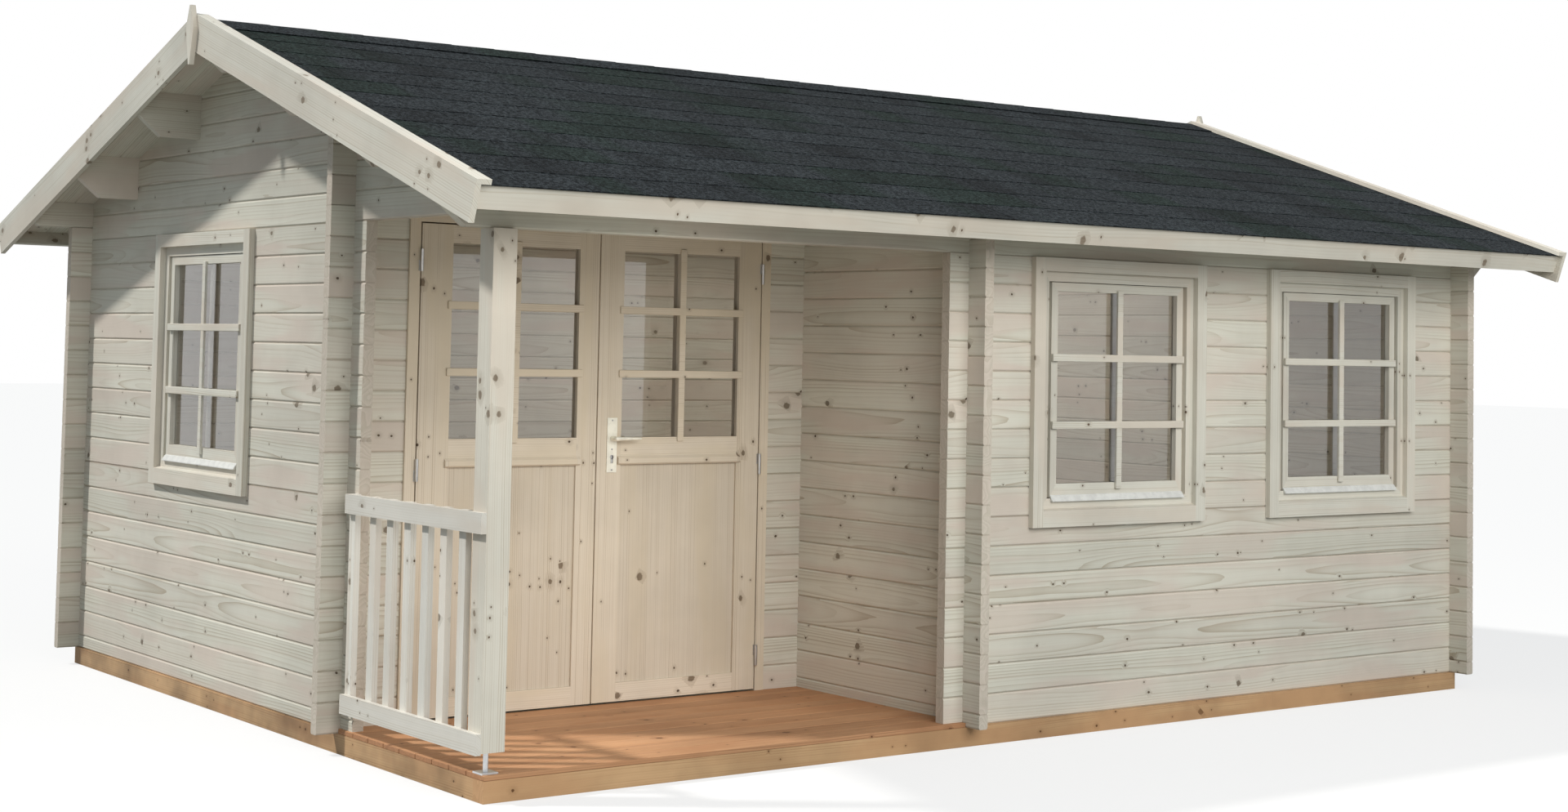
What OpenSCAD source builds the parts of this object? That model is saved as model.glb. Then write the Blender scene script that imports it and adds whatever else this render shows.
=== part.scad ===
// Log-built garden house with a covered corner porch, all lengths in millimetres.
// X runs along the ridge, the porch is at the front left (-X, -Y), the ground is z = 0.

/* [House] */
// Length between the outer faces of the two gable walls
house_l = 5148; // [4600:1:6000]
// Depth between the outer faces of the front and rear walls
house_d = 3828; // [3400:1:4400]
// Width of the wall on each side of the doorway
door_side_w = 182.5; // [140:0.5:300]
// Depth of the porch, from the front wall face to the door wall
porch_d = 1057; // [950:1:1300]

/* [Logs] */
// Thickness of a wall log
log_t = 44; // [36:1:58]
// Height of one log course
log_h = 114; // [108:1:124]
// How far the log ends stand past the crossing wall
log_end_l = 97; // [60:1:130]
// Depth of the V groove between two courses
groove_d = 5; // [2:0.5:7]
// Height of the chamfer on each log edge
groove_h = 6.5; // [3:0.5:9]
// Whole courses below the front windows
sill_courses = 7; // [6:1:8]
// Courses that a window takes
window_courses = 9; // [8:1:9]
// Courses of the wall plate over the windows and the porch
plate_courses = 2; // [2:1:3]
// Slope of the chamfered plate and purlin ends
tail_angle = 40; // [30:1:50]

/* [Base] */
// Height of the sill beams and joists
sill_h = 74; // [50:1:110]
// Width of the sill beams
sill_w = 70; // [60:1:95]
// Width of the joists
joist_w = 58; // [45:1:80]
// How far the front sill stands out past the front wall
sill_front_w = 22; // [10:1:35]
// How far the left sill stands out past the left gable
sill_left_w = 9; // [0:1:20]
// Bearing of the right and rear walls on their sills
sill_bearing_w = 14; // [8:1:40]
// Thickness of the floor and deck boards
floor_t = 18; // [14:1:28]
// Joists under the porch and under the room
porch_joists = 2; // [1:1:3]
room_joists = 4; // [2:1:6]

/* [Roof] */
// Pitch of both slopes in degrees
roof_pitch = 18.4; // [15:0.1:22]
// Thickness of the roof boards
roof_board_t = 19; // [16:1:28]
// Thickness of the shingle layer
shingle_t = 6; // [4:1:12]
// Reach of the ridge strip down each slope
ridge_strip_l = 150; // [100:1:220]
// How far the shingles reach past the eave fascia
shingle_drip_l = 12; // [5:1:25]
// Overhang of the gables, from the wall to the outer face of the barge board
verge_over_l = 298; // [200:1:400]
// Overhang of the eaves along the slope, from the wall face to the fascia face
eave_over_l = 372; // [260:1:460]
// Barge board width and thickness
barge_w = 126; // [105:1:150]
barge_t = 20; // [15:1:28]
// How far the barge board runs past the fascia
barge_past_l = 24; // [0:1:40]
// Cover batten width and thickness
batten_w = 56; // [40:1:80]
batten_t = 18; // [12:1:26]
// Eave fascia width and thickness
fascia_w = 80; // [66:1:100]
fascia_t = 20; // [15:1:28]
// Length, width and thickness of the gable finials
finial_l = 237; // [180:1:270]
finial_w = 76; // [55:1:100]
finial_t = 20; // [15:1:28]
// How far a finial stands above the barge boards
finial_up_h = 50; // [20:1:80]
// Width of a purlin
purlin_t = 44; // [36:1:60]
// Height of a purlin at its lower edge
purlin_h = 171; // [140:1:180]
// Height left uncut at the tip of a purlin and of a wall plate
purlin_nose_h = 80; // [50:1:110]
plate_nose_h = 90; // [60:1:105]
// Distance from the ridge to the upper and to the lower purlins
purlin_upper_y = 652; // [560:1:720]
purlin_lower_y = 1340; // [1250:1:1440]

/* [Porch] */
// Side of the square post
post_w = 90; // [75:1:115]
// Gap between the deck and the foot of the post
post_gap_h = 73; // [50:1:110]
// Foot plate side and thickness
foot_w = 62; // [50:1:80]
foot_t = 6; // [4:1:10]
// Diameter of the foot's rod
foot_rod_d = 18; // [12:1:24]
// Height of the balustrade's rails
rail_h = 70; // [50:1:95]
// Thickness of the rails
rail_t = 20; // [15:1:28]
// Bottom of the lower rail above the deck
rail_low_z = 68; // [40:1:110]
// Bottom of the upper rail above the deck
rail_top_z = 792; // [700:1:900]
// How far the rails lap the log ends
rail_lap_l = 24; // [15:1:45]
// Width of a slat
slat_w = 46; // [35:1:60]
// Slats between the wall and the post
slat_count = 6; // [4:1:7]

/* [Windows] */
// Width of a window's opening in the logs
window_w = 920; // [820:1:980]
// Distance between the middles of the front windows
window_step = 1392; // [1250:1:1480]
// Width of the fixed frame at the sides, at the head and at the foot
side_frame_w = 63; // [55:1:75]
head_frame_w = 94; // [80:1:105]
low_frame_w = 66; // [55:1:80]
// Gap between frame and sash at the sides, and at the head and the foot
side_gap_w = 19; // [8:1:22]
sash_gap_w = 3; // [2:1:6]
// Depth of these gaps
sash_gap_d = 24; // [14:1:32]
// Width of the sash members, and of the bottom one
sash_w = 35; // [30:1:50]
sash_low_w = 54; // [40:1:65]
// Depth of the sash behind the wall face
sash_set_d = 5; // [1:1:8]
// Thickness of the sash
sash_t = 34; // [30:1:36]
// Depth of the pane behind the face of the sash
pane_set_d = 23; // [16:1:25]
// Casing board thickness
casing_t = 25; // [16:1:30]
// Width of the side casings
casing_side_w = 57; // [45:1:80]
// Width of the head casing and of the bottom casing
casing_head_w = 54; // [45:1:70]
casing_low_w = 73; // [60:1:95]
// Width of fixed frame left showing inside the casing
casing_reveal_w = 40; // [20:1:48]
// Thickness of a pane
pane_t = 4; // [3:0.5:8]
// Height and depth of a drip strip
drip_h = 26; // [18:1:34]
drip_d = 13; // [9:1:20]

/* [Door] */
// Width of the doorway in the logs
door_w = 1692; // [1450:1:1860]
// Width and depth of the door frame
jamb_w = 44; // [36:1:55]
jamb_proud_d = 10; // [6:1:16]
// Thickness of a door leaf
leaf_t = 40; // [34:1:44]
// Running gap round the leaves
leaf_gap_w = 6; // [5:0.5:9]
// Gap between the deck and a leaf
leaf_floor_gap_h = 8; // [6:0.5:14]
// Width of the stiles and of the top rail
stile_w = 112; // [95:1:135]
top_rail_w = 70; // [55:1:120]
// How far the left leaf's glass and panel are set towards the meeting line
left_set_w = 21; // [0:1:24]
// Height of the bottom rail
bottom_rail_w = 74; // [60:1:125]
// Bottom of the glass above the deck
glass_z = 1055; // [1035:1:1100]
// Height of the lock rail under the glass
lock_rail_w = 108; // [95:1:125]
// Depth of the recessed lower panel
panel_d = 9; // [6:1:14]
// Height and depth of the ledge over the panel
ledge_h = 35; // [25:1:45]
ledge_d = 11; // [6:1:16]
// How far the ledge reaches over the stiles
ledge_past_l = 16; // [6:1:17]
// Hinge barrel diameter and length of one half
hinge_d = 13; // [10:1:16]
hinge_l = 42; // [30:1:55]
// Hinge lug width and thickness
flap_w = 10; // [8:1:24]
flap_t = 2.5; // [1.5:0.5:4]
// Handle plate width, height and thickness
plate_w = 46; // [38:1:54]
plate_h = 217; // [180:1:240]
plate_t = 5; // [3:0.5:8]
// Handle plate bottom above the deck
plate_z = 916; // [900:1:940]
// Middle of the handle plates from the edge of the right leaf
handle_set_w = 67; // [55:1:68]
// Lever spindle height above the deck
lever_z = 1051; // [1030:1:1070]
// Reach, thickness and length of the lever
lever_reach_l = 46; // [35:1:60]
lever_d = 18; // [14:1:20]
lever_l = 118; // [100:1:150]

/* [Hidden] */
$fn = 48;
// Overrun of every cut
over_l = 20;
// Joint between boards that meet in one line
board_joint_w = 0.6;
// Play between the roof's layers and what carries them
bed_w = 0.25;
// Share of a log's height that its tongue keeps in a corner
tongue_share = 0.5;
// Share of a course by which the gable walls are set off
offset_share = 0.5;
half_log = log_h * offset_share;
head_courses = sill_courses + window_courses;
door_courses = head_courses + 1;
eave_courses = head_courses + plate_courses;
wall_z = sill_h;
floor_z = wall_z + floor_t;
eave_z = wall_z + eave_courses * log_h;

// Plan lines: outer faces of the gable, front, rear, door and porch side walls
left_x = -house_l / 2;
right_x = house_l / 2 - log_t;
front_y = -house_d / 2;
rear_y = house_d / 2 - log_t;
door_y = front_y + porch_d;
porch_w = door_w + 2 * door_side_w + log_t;
side_x = left_x + porch_w;
base_x0 = left_x - sill_left_w;
base_x1 = right_x + sill_bearing_w;
base_y0 = front_y - sill_front_w;
base_y1 = rear_y + sill_bearing_w;

// Roof underside, from the inner top edge of the plate logs up to the ridge
slope_sin = sin(roof_pitch);
slope_cos = cos(roof_pitch);
ridge_z = eave_z + (house_d / 2 - log_t) * tan(roof_pitch);
roof_top_t = roof_board_t + shingle_t;
eave_s = (house_d / 2) / slope_cos + eave_over_l;
barge_x = left_x - verge_over_l;
roof_x0 = barge_x + barge_t;
roof_l = house_l + 2 * (verge_over_l - barge_t);
sky_z = ridge_z + house_d;

// Window and door places
room_x0 = side_x + log_t;
room_mid_x = (room_x0 + right_x) / 2;
window_xs = [room_mid_x - window_step / 2, room_mid_x + window_step / 2];
gable_window_y = (door_y + log_t + rear_y) / 2;
window_h = window_courses * log_h;
front_window_z = wall_z + sill_courses * log_h;
gable_window_z = front_window_z + half_log;
door_mid_x = (left_x + log_t + side_x) / 2;
door_x0 = door_mid_x - door_w / 2;
door_x1 = door_mid_x + door_w / 2;
door_head_z = wall_z + door_courses * log_h;
hinge_y = door_y - jamb_proud_d - hinge_d / 2 - flap_t;
leaf_y = door_y - jamb_proud_d;
leaf_z0 = floor_z + leaf_floor_gap_h;
leaf_z1 = door_head_z - jamb_w - leaf_gap_w;
leaf_x0 = door_x0 + jamb_w + leaf_gap_w;
leaf_x1 = door_x1 - jamb_w - leaf_gap_w;
leaf_w = (leaf_x1 - leaf_x0 - leaf_gap_w) / 2;
hinge_inset_w = leaf_gap_w / 2;
hinge_shares = [0.075, 0.5, 0.925];
lever_x = leaf_x1 - leaf_w + handle_set_w;
post_x = left_x + log_t / 2;
post_y = front_y + log_t / 2;
post_z = floor_z + post_gap_h;
plate_z0 = wall_z + head_courses * log_h;
slat_t = left_x - (post_x - post_w / 2);
rail_x = post_x - post_w / 2 - rail_t;
rail_y0 = post_y - post_w / 2;
rail_y1 = door_y - log_end_l + rail_lap_l;

// Edges of the courses from z0 to z1, the bottom one shorter where a wall starts half a log up
function seams(z0, z1, first) = [for (z = first; z < z1 - groove_h; z = z + log_h) if (z > z0 + groove_h) z];

// Cross-section of stacked logs with chamfered edges, thickness along u and height along v
function log_section(z0, z1, first) = concat(
  [[groove_d, z0], [0, z0 + groove_h]],
  [for (z = seams(z0, z1, first)) each [[0, z - groove_h], [groove_d, z], [0, z + groove_h]]],
  [[0, z1], [log_t, z1]],
  [for (i = [len(seams(z0, z1, first)) - 1 : -1 : 0]) let (z = seams(z0, z1, first)[i])
    each [[log_t, z + groove_h], [log_t - groove_d, z], [log_t, z - groove_h]]],
  [[log_t, z0 + groove_h], [log_t - groove_d, z0]]
);

// Extrudes a (y, z) outline along X, and an (x, z) outline along Y
module along_x(x0, length) {
  translate([x0, 0, 0]) rotate([90, 0, 90]) linear_extrude(length) children();
}
module along_y(y0, length) {
  translate([0, y0 + length, 0]) rotate([90, 0, 0]) linear_extrude(length) children();
}

// Stacked logs along X, laid on full courses
module x_logs(x0, x1, y, z0, z1) {
  along_x(x0, x1 - x0) translate([y, 0]) polygon(log_section(z0, z1, wall_z));
}

// Stacked logs along Y, laid on a half course
module y_logs(y0, y1, x, z0, z1) {
  along_y(y0, y1 - y0) translate([x, 0]) polygon(log_section(z0, z1, wall_z + half_log));
}

// Slots in logs along X that take the tongues of the wall crossing at x
module x_notches(x, y, top_z, first_z = wall_z) {
  for (z = [first_z : log_h : top_z])
    translate([x, y - over_l, z - log_h * tongue_share / 2])
      cube([log_t, log_t + 2 * over_l, log_h * tongue_share]);
}

// Slots in logs along Y that take the tongues of the wall crossing at y
module y_notches(x, y, top_z) {
  for (z = [wall_z + half_log : log_h : top_z])
    translate([x - over_l, y, z - log_h * tongue_share / 2])
      cube([log_t + 2 * over_l, log_t, log_h * tongue_share]);
}

// Place on a slope: s down the slope from the ridge, t square to it above the underside
function slope_point(s, t) = [-(s * slope_cos + t * slope_sin), ridge_z - s * slope_sin + t * slope_cos];

// Outline of a layer that lies on the front slope
module slope_layer(s1, t0, t1, ridge_gap_w = 0) {
  lift0 = t0 / slope_cos - ridge_gap_w * tan(roof_pitch);
  lift1 = t1 / slope_cos - ridge_gap_w * tan(roof_pitch);
  polygon([[-ridge_gap_w, ridge_z + lift0], slope_point(s1, t0), slope_point(s1, t1),
    [-ridge_gap_w, ridge_z + lift1]]);
}

// Everything above the roof's underside
module above_roof() {
  along_x(barge_x - over_l, house_l + 2 * (verge_over_l + over_l))
    translate([0, -bed_w])
      polygon([[-house_d, roof_under(house_d)], [0, ridge_z], [house_d, roof_under(house_d)],
        [house_d, sky_z], [-house_d, sky_z]]);
}

// Underside height of the roof at a distance from the ridge
function roof_under(y) = ridge_z - abs(y) * tan(roof_pitch);

// A purlin's bottom, from the height of its lower edge
function purlin_z(y) = roof_under(abs(y) + purlin_t / 2) - purlin_h;
purlin_ys = [0, -purlin_upper_y, purlin_upper_y, -purlin_lower_y, purlin_lower_y];

// Slots for the purlins in walls between x0 and x1
module purlin_slots(x0, x1) {
  for (y = purlin_ys)
    translate([x0 - over_l, y - purlin_t / 2, purlin_z(y)])
      cube([x1 - x0 + 2 * over_l, purlin_t, purlin_h + log_h]);
}

// Cuts that chamfer the underside of beam ends at both verges
module tail_cuts(y, width, z, rise) {
  run = rise / tan(tail_angle);
  for (side = [0, 1]) mirror([side, 0, 0])
    translate([roof_x0, y - over_l, z])
      rotate([90, 0, 0]) mirror([0, 0, 1]) linear_extrude(width + 2 * over_l)
        polygon([[-over_l, -over_l], [run, -over_l], [run, 0], [0, rise], [-over_l, rise]]);
}

module long_sills() color("peru") {
  for (y = [base_y0, base_y1 - sill_w])
    translate([base_x0, y, 0]) cube([base_x1 - base_x0, sill_w, sill_h]);
}

// Beams across the house: one under each gable, one under the porch side wall, and joists between
module floor_bearers() color("sienna") {
  y0 = base_y0 + sill_w;
  span = base_y1 - base_y0 - 2 * sill_w;
  side_mid = side_x + log_t / 2;
  porch_step = (side_mid - base_x0) / (porch_joists + 1);
  room_step = (base_x1 - side_mid) / (room_joists + 1);
  for (x = [base_x0, side_mid - sill_w / 2, base_x1 - sill_w])
    translate([x, y0, 0]) cube([sill_w, span, sill_h]);
  for (i = [1 : porch_joists])
    translate([base_x0 + i * porch_step - joist_w / 2, y0, 0]) cube([joist_w, span, sill_h]);
  for (i = [1 : room_joists])
    translate([side_mid + i * room_step - joist_w / 2, y0, 0]) cube([joist_w, span, sill_h]);
}

// Footprint of the log ends that stand inside the floors
module log_end_cuts() {
  translate([side_x, front_y, wall_z - over_l])
    cube([log_t, porch_d + log_t + log_end_l, floor_t + 2 * over_l]);
  translate([side_x - log_end_l, front_y, wall_z - over_l])
    cube([2 * log_end_l + log_t, log_t, floor_t + 2 * over_l]);
  translate([side_x, door_y, wall_z - over_l]) cube([log_t + log_end_l, log_t, floor_t + 2 * over_l]);
  translate([base_x0 - over_l, door_y - log_end_l, wall_z - over_l])
    cube([sill_left_w + log_t + over_l, log_end_l + over_l, floor_t + 2 * over_l]);
}

module room_floor() color("burlywood") difference() {
  union() {
    translate([left_x + log_t, door_y + log_t, wall_z])
      cube([house_l - 2 * log_t, rear_y - door_y - log_t, floor_t]);
    translate([room_x0, front_y + log_t, wall_z])
      cube([right_x - room_x0, porch_d + log_t, floor_t]);
  }
  log_end_cuts();
}

module porch_deck() color("chocolate") difference() {
  translate([base_x0, base_y0, wall_z]) cube([side_x - base_x0, door_y - base_y0, floor_t]);
  log_end_cuts();
}

module front_wall_low() color("wheat") difference() {
  x_logs(side_x - log_end_l, right_x + log_t + log_end_l, front_y, wall_z, front_window_z);
  x_notches(side_x, front_y, front_window_z);
  x_notches(right_x, front_y, front_window_z);
}

module front_wall_piers() color("moccasin") {
  half_w = window_w / 2;
  first = [side_x - log_end_l, window_xs[0] - half_w];
  middle = [window_xs[0] + half_w, window_xs[1] - half_w];
  last = [window_xs[1] + half_w, right_x + log_t + log_end_l];
  for (ends = [first, middle, last]) difference() {
    x_logs(ends[0], ends[1], front_y, front_window_z, plate_z0);
    x_notches(side_x, front_y, plate_z0);
    x_notches(right_x, front_y, plate_z0);
  }
}

module front_plate() color("navajowhite") difference() {
  x_logs(roof_x0, roof_x0 + roof_l, front_y, plate_z0, eave_z);
  x_notches(left_x, front_y, eave_z, plate_z0 + log_h);
  x_notches(side_x, front_y, eave_z);
  x_notches(right_x, front_y, eave_z);
  tail_cuts(front_y, log_t, plate_z0, plate_courses * log_h - plate_nose_h);
  above_roof();
}

module rear_wall() color("wheat") difference() {
  x_logs(left_x - log_end_l, right_x + log_t + log_end_l, rear_y, wall_z, eave_z - log_h);
  x_notches(left_x, rear_y, eave_z);
  x_notches(right_x, rear_y, eave_z);
}

module rear_plate() color("navajowhite") difference() {
  x_logs(roof_x0, roof_x0 + roof_l, rear_y, eave_z - log_h, eave_z);
  x_notches(left_x, rear_y, eave_z);
  x_notches(right_x, rear_y, eave_z);
  tail_cuts(rear_y, log_t, eave_z - log_h, log_h - plate_nose_h);
  above_roof();
}

module left_gable_low() color("moccasin") difference() {
  y_logs(door_y - log_end_l, rear_y + log_t + log_end_l, left_x, wall_z, gable_window_z);
  y_notches(left_x, door_y, gable_window_z);
  y_notches(left_x, rear_y, gable_window_z);
}

module left_gable_piers() color("wheat") {
  half_w = window_w / 2;
  top_z = gable_window_z + window_h;
  first = [door_y - log_end_l, gable_window_y - half_w];
  last = [gable_window_y + half_w, rear_y + log_t + log_end_l];
  for (ends = [first, last]) difference() {
    y_logs(ends[0], ends[1], left_x, gable_window_z, top_z);
    y_notches(left_x, door_y, top_z);
    y_notches(left_x, rear_y, top_z);
  }
}

module gable_top(x) {
  difference() {
    y_logs(front_y - log_end_l, rear_y + log_t + log_end_l, x, gable_window_z + window_h, ridge_z);
    y_notches(x, front_y, eave_z);
    y_notches(x, rear_y, eave_z);
    if (x < 0) y_notches(x, door_y, roof_under(door_y + log_t) + half_log);
    purlin_slots(x, x + log_t);
    above_roof();
  }
}

module left_gable_top() color("navajowhite") gable_top(left_x);

module right_gable_wall() color("moccasin") difference() {
  y_logs(front_y - log_end_l, rear_y + log_t + log_end_l, right_x, wall_z, gable_window_z + window_h);
  y_notches(right_x, front_y, eave_z);
  y_notches(right_x, rear_y, eave_z);
}

module right_gable_top() color("navajowhite") gable_top(right_x);

module porch_side_wall() color("wheat") difference() {
  y_logs(front_y - log_end_l, door_y + log_t + log_end_l, side_x, wall_z, ridge_z);
  y_notches(side_x, front_y, eave_z);
  y_notches(side_x, door_y, ridge_z);
  purlin_slots(side_x, side_x + log_t);
  above_roof();
}

module door_wall_piers() color("moccasin") {
  for (ends = [[left_x - log_end_l, door_x0], [door_x1, side_x + log_t + log_end_l]]) difference() {
    x_logs(ends[0], ends[1], door_y, wall_z, door_head_z);
    x_notches(left_x, door_y, door_head_z);
    x_notches(side_x, door_y, door_head_z);
  }
}

module door_wall_top() color("navajowhite") difference() {
  x_logs(left_x - log_end_l, side_x + log_t + log_end_l, door_y, door_head_z, ridge_z);
  x_notches(left_x, door_y, ridge_z);
  x_notches(side_x, door_y, ridge_z);
  purlin_slots(left_x - log_end_l, side_x + log_t + log_end_l);
  above_roof();
}

module purlins() color("tan") {
  for (y = purlin_ys) difference() {
    translate([roof_x0, y - purlin_t / 2, purlin_z(y)]) cube([roof_l, purlin_t, purlin_h + log_h]);
    tail_cuts(y - purlin_t / 2, purlin_t, purlin_z(y), purlin_h - purlin_nose_h);
    above_roof();
  }
}

module front_roof_boards() color("bisque") along_x(roof_x0, roof_l)
  slope_layer(eave_s - fascia_t, 0, roof_board_t);

module rear_roof_boards() color("bisque") mirror([0, 1, 0]) front_roof_boards();

module front_shingles() color("dimgray") along_x(roof_x0, roof_l)
  slope_layer(eave_s + shingle_drip_l, roof_board_t + bed_w, roof_top_t);

module rear_shingles() color("dimgray") mirror([0, 1, 0]) front_shingles();

// Folded strip over the ridge, held between the cover battens
module ridge_shingles() color("darkslategray") {
  along_x(roof_x0 + batten_w - barge_t, roof_l - 2 * (batten_w - barge_t))
    for (side = [0, 1]) mirror([side, 0])
      slope_layer(ridge_strip_l, roof_top_t + bed_w, roof_top_t + shingle_t);
}

module eave_fascias() color("cornsilk") {
  for (side = [0, 1]) mirror([0, side, 0]) along_x(roof_x0, roof_l)
    polygon([slope_point(eave_s - fascia_t, roof_board_t), slope_point(eave_s, roof_board_t),
      slope_point(eave_s, roof_board_t - fascia_w), slope_point(eave_s - fascia_t, roof_board_t - fascia_w)]);
}

module barge_boards() color("ivory") {
  for (end = [0, 1], side = [0, 1]) mirror([end, 0, 0]) mirror([0, side, 0])
    along_x(barge_x, barge_t)
      slope_layer(eave_s + barge_past_l, roof_top_t - barge_w, roof_top_t, board_joint_w / 2);
}

module cover_battens() color("linen") {
  for (end = [0, 1], side = [0, 1]) mirror([end, 0, 0]) mirror([0, side, 0])
    along_x(barge_x, batten_w)
      slope_layer(eave_s + barge_past_l, roof_top_t + bed_w, roof_top_t + batten_t, board_joint_w / 2);
}

// Kite-shaped boards with cut tips on the peaks of the barge boards
module gable_finials() color("ivory") {
  tip_share = 0.16;
  widest_share = 0.62;
  tip = finial_w * tip_share / 2;
  top_z = ridge_z + roof_top_t / slope_cos + finial_up_h;
  for (end = [0, 1]) mirror([end, 0, 0])
    translate([barge_x - finial_t, 0, top_z - finial_l])
      rotate([90, 0, 90]) linear_extrude(finial_t)
        polygon([[-tip, 0], [tip, 0], [finial_w / 2, finial_l * widest_share], [tip, finial_l],
          [-tip, finial_l], [-finial_w / 2, finial_l * widest_share]]);
}

module porch_post() color("oldlace")
  translate([post_x - post_w / 2, post_y - post_w / 2, post_z]) cube([post_w, post_w, plate_z0 - post_z]);

module post_foot() color("silver") {
  translate([post_x - foot_w / 2, post_y - foot_w / 2, floor_z]) cube([foot_w, foot_w, foot_t]);
  translate([post_x, post_y, floor_z]) cylinder(d = foot_rod_d, h = post_gap_h);
}

// Two rails on the outside, slats behind them, the last slat packing them off the log ends
module balustrade() color("antiquewhite") {
  low_z = floor_z + rail_low_z;
  top_z = floor_z + rail_top_z;
  last_y = rail_y1 - slat_w;
  first_gap_share = 0.079;
  wall_gap_share = 0.202;
  open_w = last_y - post_y - post_w / 2 - slat_count * slat_w;
  first_y = post_y + post_w / 2 + open_w * first_gap_share;
  step = slat_w + open_w * (1 - first_gap_share - wall_gap_share) / (slat_count - 1);
  for (z = [low_z, top_z])
    translate([rail_x, rail_y0, z]) cube([rail_t, rail_y1 - rail_y0, rail_h]);
  for (y = [last_y, for (i = [0 : slat_count - 1]) first_y + i * step])
    translate([rail_x + rail_t, y, low_z]) cube([slat_t, slat_w, top_z + rail_h - low_z]);
}

// Widths of a window's members: fixed frame, gap and sash
side_ws = [side_frame_w, side_gap_w, sash_w];
head_ws = [head_frame_w, sash_gap_w, sash_w];
low_ws = [low_frame_w, sash_gap_w, sash_low_w];
function to_sash(ws) = ws[0] + ws[1];
function to_glass(ws) = ws[0] + ws[1] + ws[2];

// Section of a member, u inwards and v into the wall
function window_section(ws) = [
  [0, 0], [ws[0], 0], [ws[0], sash_gap_d], [to_sash(ws), sash_gap_d], [to_sash(ws), sash_set_d],
  [to_glass(ws), sash_set_d], [to_glass(ws), sash_set_d + sash_t], [ws[0], sash_set_d + sash_t],
  [ws[0], log_t], [0, log_t]
];

// One mitred member that starts at the origin and runs along Z, with its face at y = 0.
// first and last are the widths of the members that it meets.
module window_member(length, ws, first, last) {
  intersection() {
    linear_extrude(length) polygon(window_section(ws));
    translate([0, log_t + over_l, 0]) rotate([90, 0, 0]) linear_extrude(log_t + 2 * over_l)
      polygon([[0, 0], [ws[0], first[0]], [to_sash(ws), to_sash(first)], [to_glass(ws), to_glass(first)],
        [to_glass(ws), length - to_glass(last)], [to_sash(ws), length - to_sash(last)],
        [ws[0], length - last[0]], [0, length]]);
  }
}

// Puts a window drawn round the origin, face at y = 0, into each of the three openings
module at_windows() {
  for (x = window_xs) translate([x, front_y, front_window_z]) children();
  translate([left_x, gable_window_y, gable_window_z]) rotate([0, 0, -90]) children();
}

module window_posts() color("cornsilk") at_windows() for (side = [0, 1]) mirror([side, 0, 0])
  translate([-window_w / 2, 0, 0]) window_member(window_h, side_ws, low_ws, head_ws);

module window_rails() color("blanchedalmond") at_windows() {
  translate([window_w / 2, 0, 0]) rotate([0, -90, 0]) window_member(window_w, low_ws, side_ws, side_ws);
  translate([-window_w / 2, 0, window_h]) rotate([0, 90, 0])
    window_member(window_w, head_ws, side_ws, side_ws);
}

module window_panes() color("lightblue") at_windows()
  translate([to_glass(side_ws) - window_w / 2, sash_set_d + pane_set_d, to_glass(low_ws)])
    cube([window_w - 2 * to_glass(side_ws), pane_t, window_h - to_glass(low_ws) - to_glass(head_ws)]);

// Casing boards lie on the logs and on the fixed frame
casing_in_w = window_w / 2 - side_frame_w + casing_reveal_w;
casing_z0 = low_frame_w - casing_reveal_w;
casing_z1 = window_h - head_frame_w + casing_reveal_w;

module casing_sides() color("seashell") at_windows() for (side = [0, 1]) mirror([side, 0, 0])
  translate([casing_in_w, -casing_t, casing_z0 - casing_low_w])
    cube([casing_side_w, casing_t, casing_z1 + casing_head_w - casing_z0 + casing_low_w]);

// The bottom casing's top edge is bevelled to shed water
module casing_rails() color("floralwhite") at_windows() {
  bevel_share = 0.3;
  translate([-casing_in_w, -casing_t, casing_z1]) cube([2 * casing_in_w, casing_t, casing_head_w]);
  translate([-casing_in_w, 0, casing_z0 - casing_low_w]) rotate([90, 0, 90]) linear_extrude(2 * casing_in_w)
    polygon([[0, 0], [-casing_t, 0], [-casing_t, casing_low_w - casing_t * bevel_share], [0, casing_low_w]]);
}

// Sloping strip at the foot of each sash, as long as the sash is wide
module window_drips() color("gainsboro") at_windows() {
  drip_l = window_w - 2 * to_sash(side_ws);
  nose_share = 0.14;
  nose_h = drip_h * nose_share;
  translate([-drip_l / 2, 0, low_frame_w - drip_h / 2]) rotate([90, 0, 90]) linear_extrude(drip_l)
    polygon([[0, 0], [-drip_d, 0], [-drip_d, nose_h], [0, drip_h - nose_h], [sash_set_d, drip_h],
      [sash_set_d, drip_h / 2 + sash_gap_w], [0, drip_h / 2 + sash_gap_w]]);
}

module door_jambs() color("cornsilk") for (x = [door_x0, door_x1 - jamb_w])
  translate([x, leaf_y, floor_z]) cube([jamb_w, log_t + 2 * jamb_proud_d, door_head_z - floor_z]);

module door_head() color("blanchedalmond")
  translate([door_x0 + jamb_w, leaf_y, door_head_z - jamb_w])
    cube([door_w - 2 * jamb_w, log_t + 2 * jamb_proud_d, jamb_w]);

// Half hinge at the left leaf: a barrel on the joint and a flap to one side of it
module half_hinge(z, side) {
  translate([leaf_x0 - hinge_inset_w, hinge_y, z]) {
    cylinder(d = hinge_d, h = hinge_l);
    translate([side < 0 ? -flap_w : 0, hinge_d / 2, 0]) cube([flap_w, flap_t, hinge_l]);
    translate([side < 0 ? -flap_t : 0, 0, 0]) cube([flap_t, hinge_d / 2, hinge_l]);
  }
}

function hinge_z(share) = leaf_z0 + (leaf_z1 - leaf_z0) * share;

// Mirrors the left leaf's pieces onto the right leaf
module right_side() translate([leaf_x0 + leaf_x1, 0, 0]) mirror([1, 0, 0]) children();

module jamb_half_hinges() for (share = hinge_shares) half_hinge(hinge_z(share) - hinge_l, -1);

module leaf_half_hinges() for (share = hinge_shares) half_hinge(hinge_z(share) + board_joint_w / 2, 1);

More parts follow.
